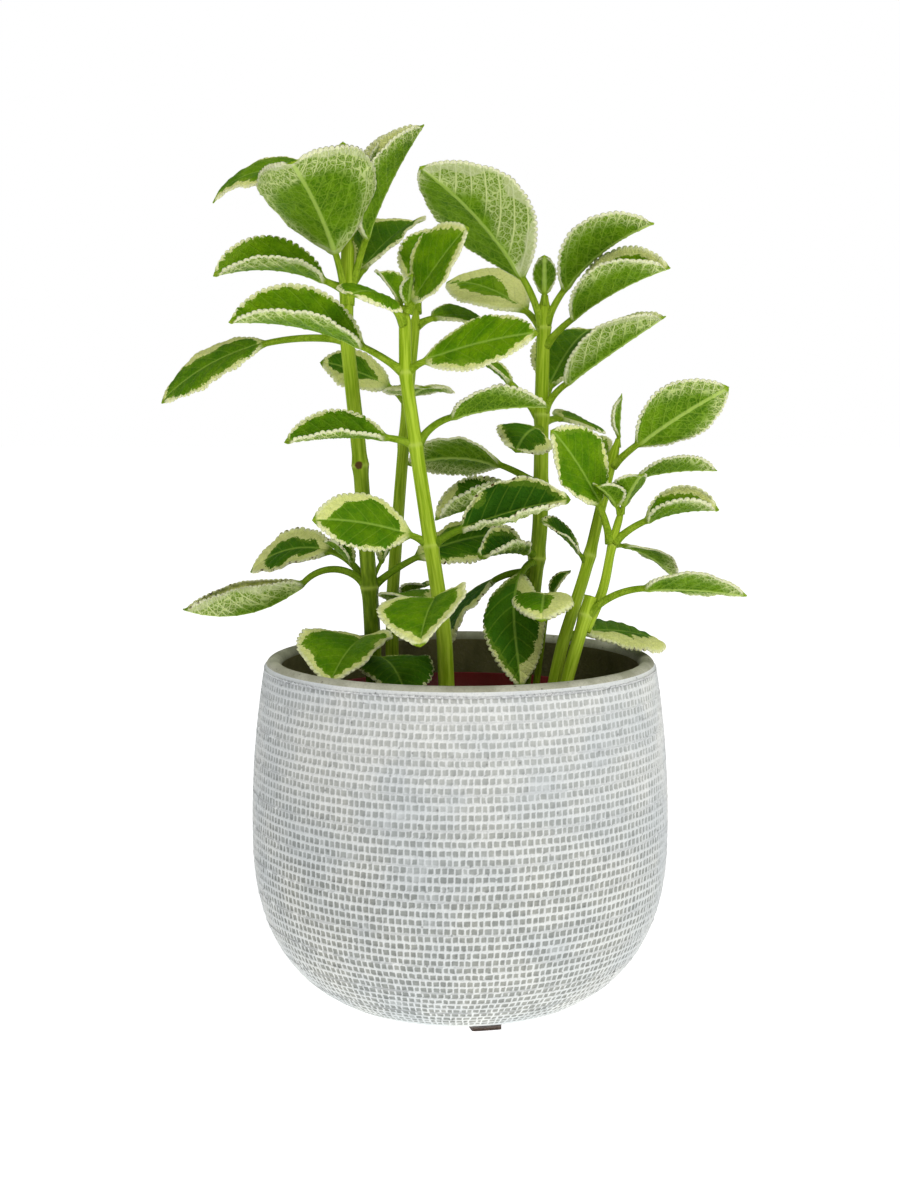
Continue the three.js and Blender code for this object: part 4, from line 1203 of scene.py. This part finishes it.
def felt_pads(material):
    # felt pads under the foot, whose dark brown also paints the shade of a notch at the foot
    for number in range(3):
        rng = np.random.default_rng(40 + number)
        turn = math.radians(PAD_TURN + 120 * number)
        nx, ny = 26, 24
        gx, gy = np.meshgrid(np.linspace(-1, 1, nx), np.linspace(-1, 1, ny), indexing="ij")
        ramp = np.maximum(np.abs(gx), np.abs(gy))
        # a square grid with rounded corners, its rim a little frayed
        corner = 0.06 * np.abs(gx * gy) ** 6
        fray = 1 - corner - 0.012 * rng.uniform(0, 1, gx.shape) * (ramp > 0.99)
        x, y = gx * fray * PAD_IN / 2, gy * fray * PAD_W / 2
        edge_round = 0.25 * smooth(0.9, 1.0, ramp)
        fuzz = 0.05 * rng.uniform(-1, 1, gx.shape)
        top = np.stack([x, y, PAD_H - edge_round + fuzz - 0.05], -1)
        low = np.stack([x, y, edge_round * 0.4 + np.abs(fuzz) * 0.3], -1)
        flat = np.concatenate([top.reshape(-1, 3), low.reshape(-1, 3)])
        i, j = np.meshgrid(np.arange(nx - 1), np.arange(ny - 1), indexing="ij")
        a = i * ny + j
        up = np.stack([a, a + ny, a + ny + 1, a + 1], -1).reshape(-1, 4)
        down = np.stack([a, a + 1, a + ny + 1, a + ny], -1).reshape(-1, 4) + nx * ny
        border = (
            [i * ny for i in range(nx)]
            + [(nx - 1) * ny + j for j in range(1, ny)]
            + [i * ny + ny - 1 for i in range(nx - 2, -1, -1)]
            + [j for j in range(ny - 2, 0, -1)]
        )
        b = np.array(border)
        c = np.roll(b, -1)
        wall = np.stack([b, b + nx * ny, c + nx * ny, c], -1)[:, ::-1]
        reach = float(belly_radius(2)) - PAD_IN / 2
        spin = np.array([[math.cos(turn), -math.sin(turn)], [math.sin(turn), math.cos(turn)]])
        flat[:, :2] = (flat[:, :2] + (reach, 0)) @ spin.T
        faces = np.concatenate([up, down, wall])
        piece = new_piece(f"pad_felt_and_notch_shade_{number + 1}", flat, faces, (), [material])
        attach(piece, "root")
        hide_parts(f"felt_pad_{number + 1}")


# ---------------------------------------------------------------- the object
cement_planter([relief_material(), rim_material(), inner_material()])
plastic_pot(plastic_material())
potting_soil(soil_material())
felt_pads(felt_material())
looks = (leaf_material(), stem_material())
for letter in STEMS:
    shoot(letter, looks)

# ---------------------------------------------------------------- floor, light, camera
FAR = 6000
floor = new_piece(
    "floor", [(-FAR, -FAR, 0), (FAR, -FAR, 0), (FAR, FAR, 0), (-FAR, FAR, 0)],
    [(0, 1, 2, 3)], (), [floor_material()])

scene = bpy.context.scene
scene.view_settings.view_transform = "Standard"

WORLD_LIGHT = 0.36  # what the surroundings light with, while they look white
WORLD_SEEN = 1.0
world = bpy.data.worlds.new("studio")
scene.world = world
world.use_nodes = True
studio = world.node_tree
background = studio.nodes["Background"]
background.inputs["Color"].default_value = (1, 1, 1, 1)
seen = studio.nodes.new("ShaderNodeLightPath").outputs["Is Camera Ray"]
level = studio.nodes.new("ShaderNodeMapRange")
level.inputs["To Min"].default_value = WORLD_LIGHT
level.inputs["To Max"].default_value = WORLD_SEEN
studio.links.new(seen, level.inputs["Value"])
studio.links.new(level.outputs[0], background.inputs["Strength"])


def area_light(name, energy, size, where, towards, colour=(1, 1, 1)):
    data = bpy.data.lights.new(name, "AREA")
    data.energy, data.size, data.color = energy, size, colour
    lamp = bpy.data.objects.new(name, data)
    scene.collection.objects.link(lamp)
    lamp.location = where
    lamp.rotation_euler = (Vector(towards) - Vector(where)).to_track_quat("-Z", "Y").to_euler()


area_light("key", 11.5, 0.9, (0.35, -1.0, 1.4), (0, 0, 0.2))
area_light("fill", 2.6, 1.2, (1.2, -1.0, 0.6), (0, 0, 0.15), (1, 0.98, 0.94))

CAMERA_AT = (-0.0039, -0.7025, 0.2351)
CAMERA_DOWN = 6.7  # degrees
LENS = 55.5
SENSOR = 36
camera_data = bpy.data.cameras.new("camera")
camera = bpy.data.objects.new("camera", camera_data)
scene.collection.objects.link(camera)
camera.location = CAMERA_AT
camera.rotation_euler = (math.radians(90 - CAMERA_DOWN), 0, 0)
camera_data.lens = LENS
camera_data.sensor_width = SENSOR
camera_data.clip_start, camera_data.clip_end = 0.01, 50
scene.camera = camera
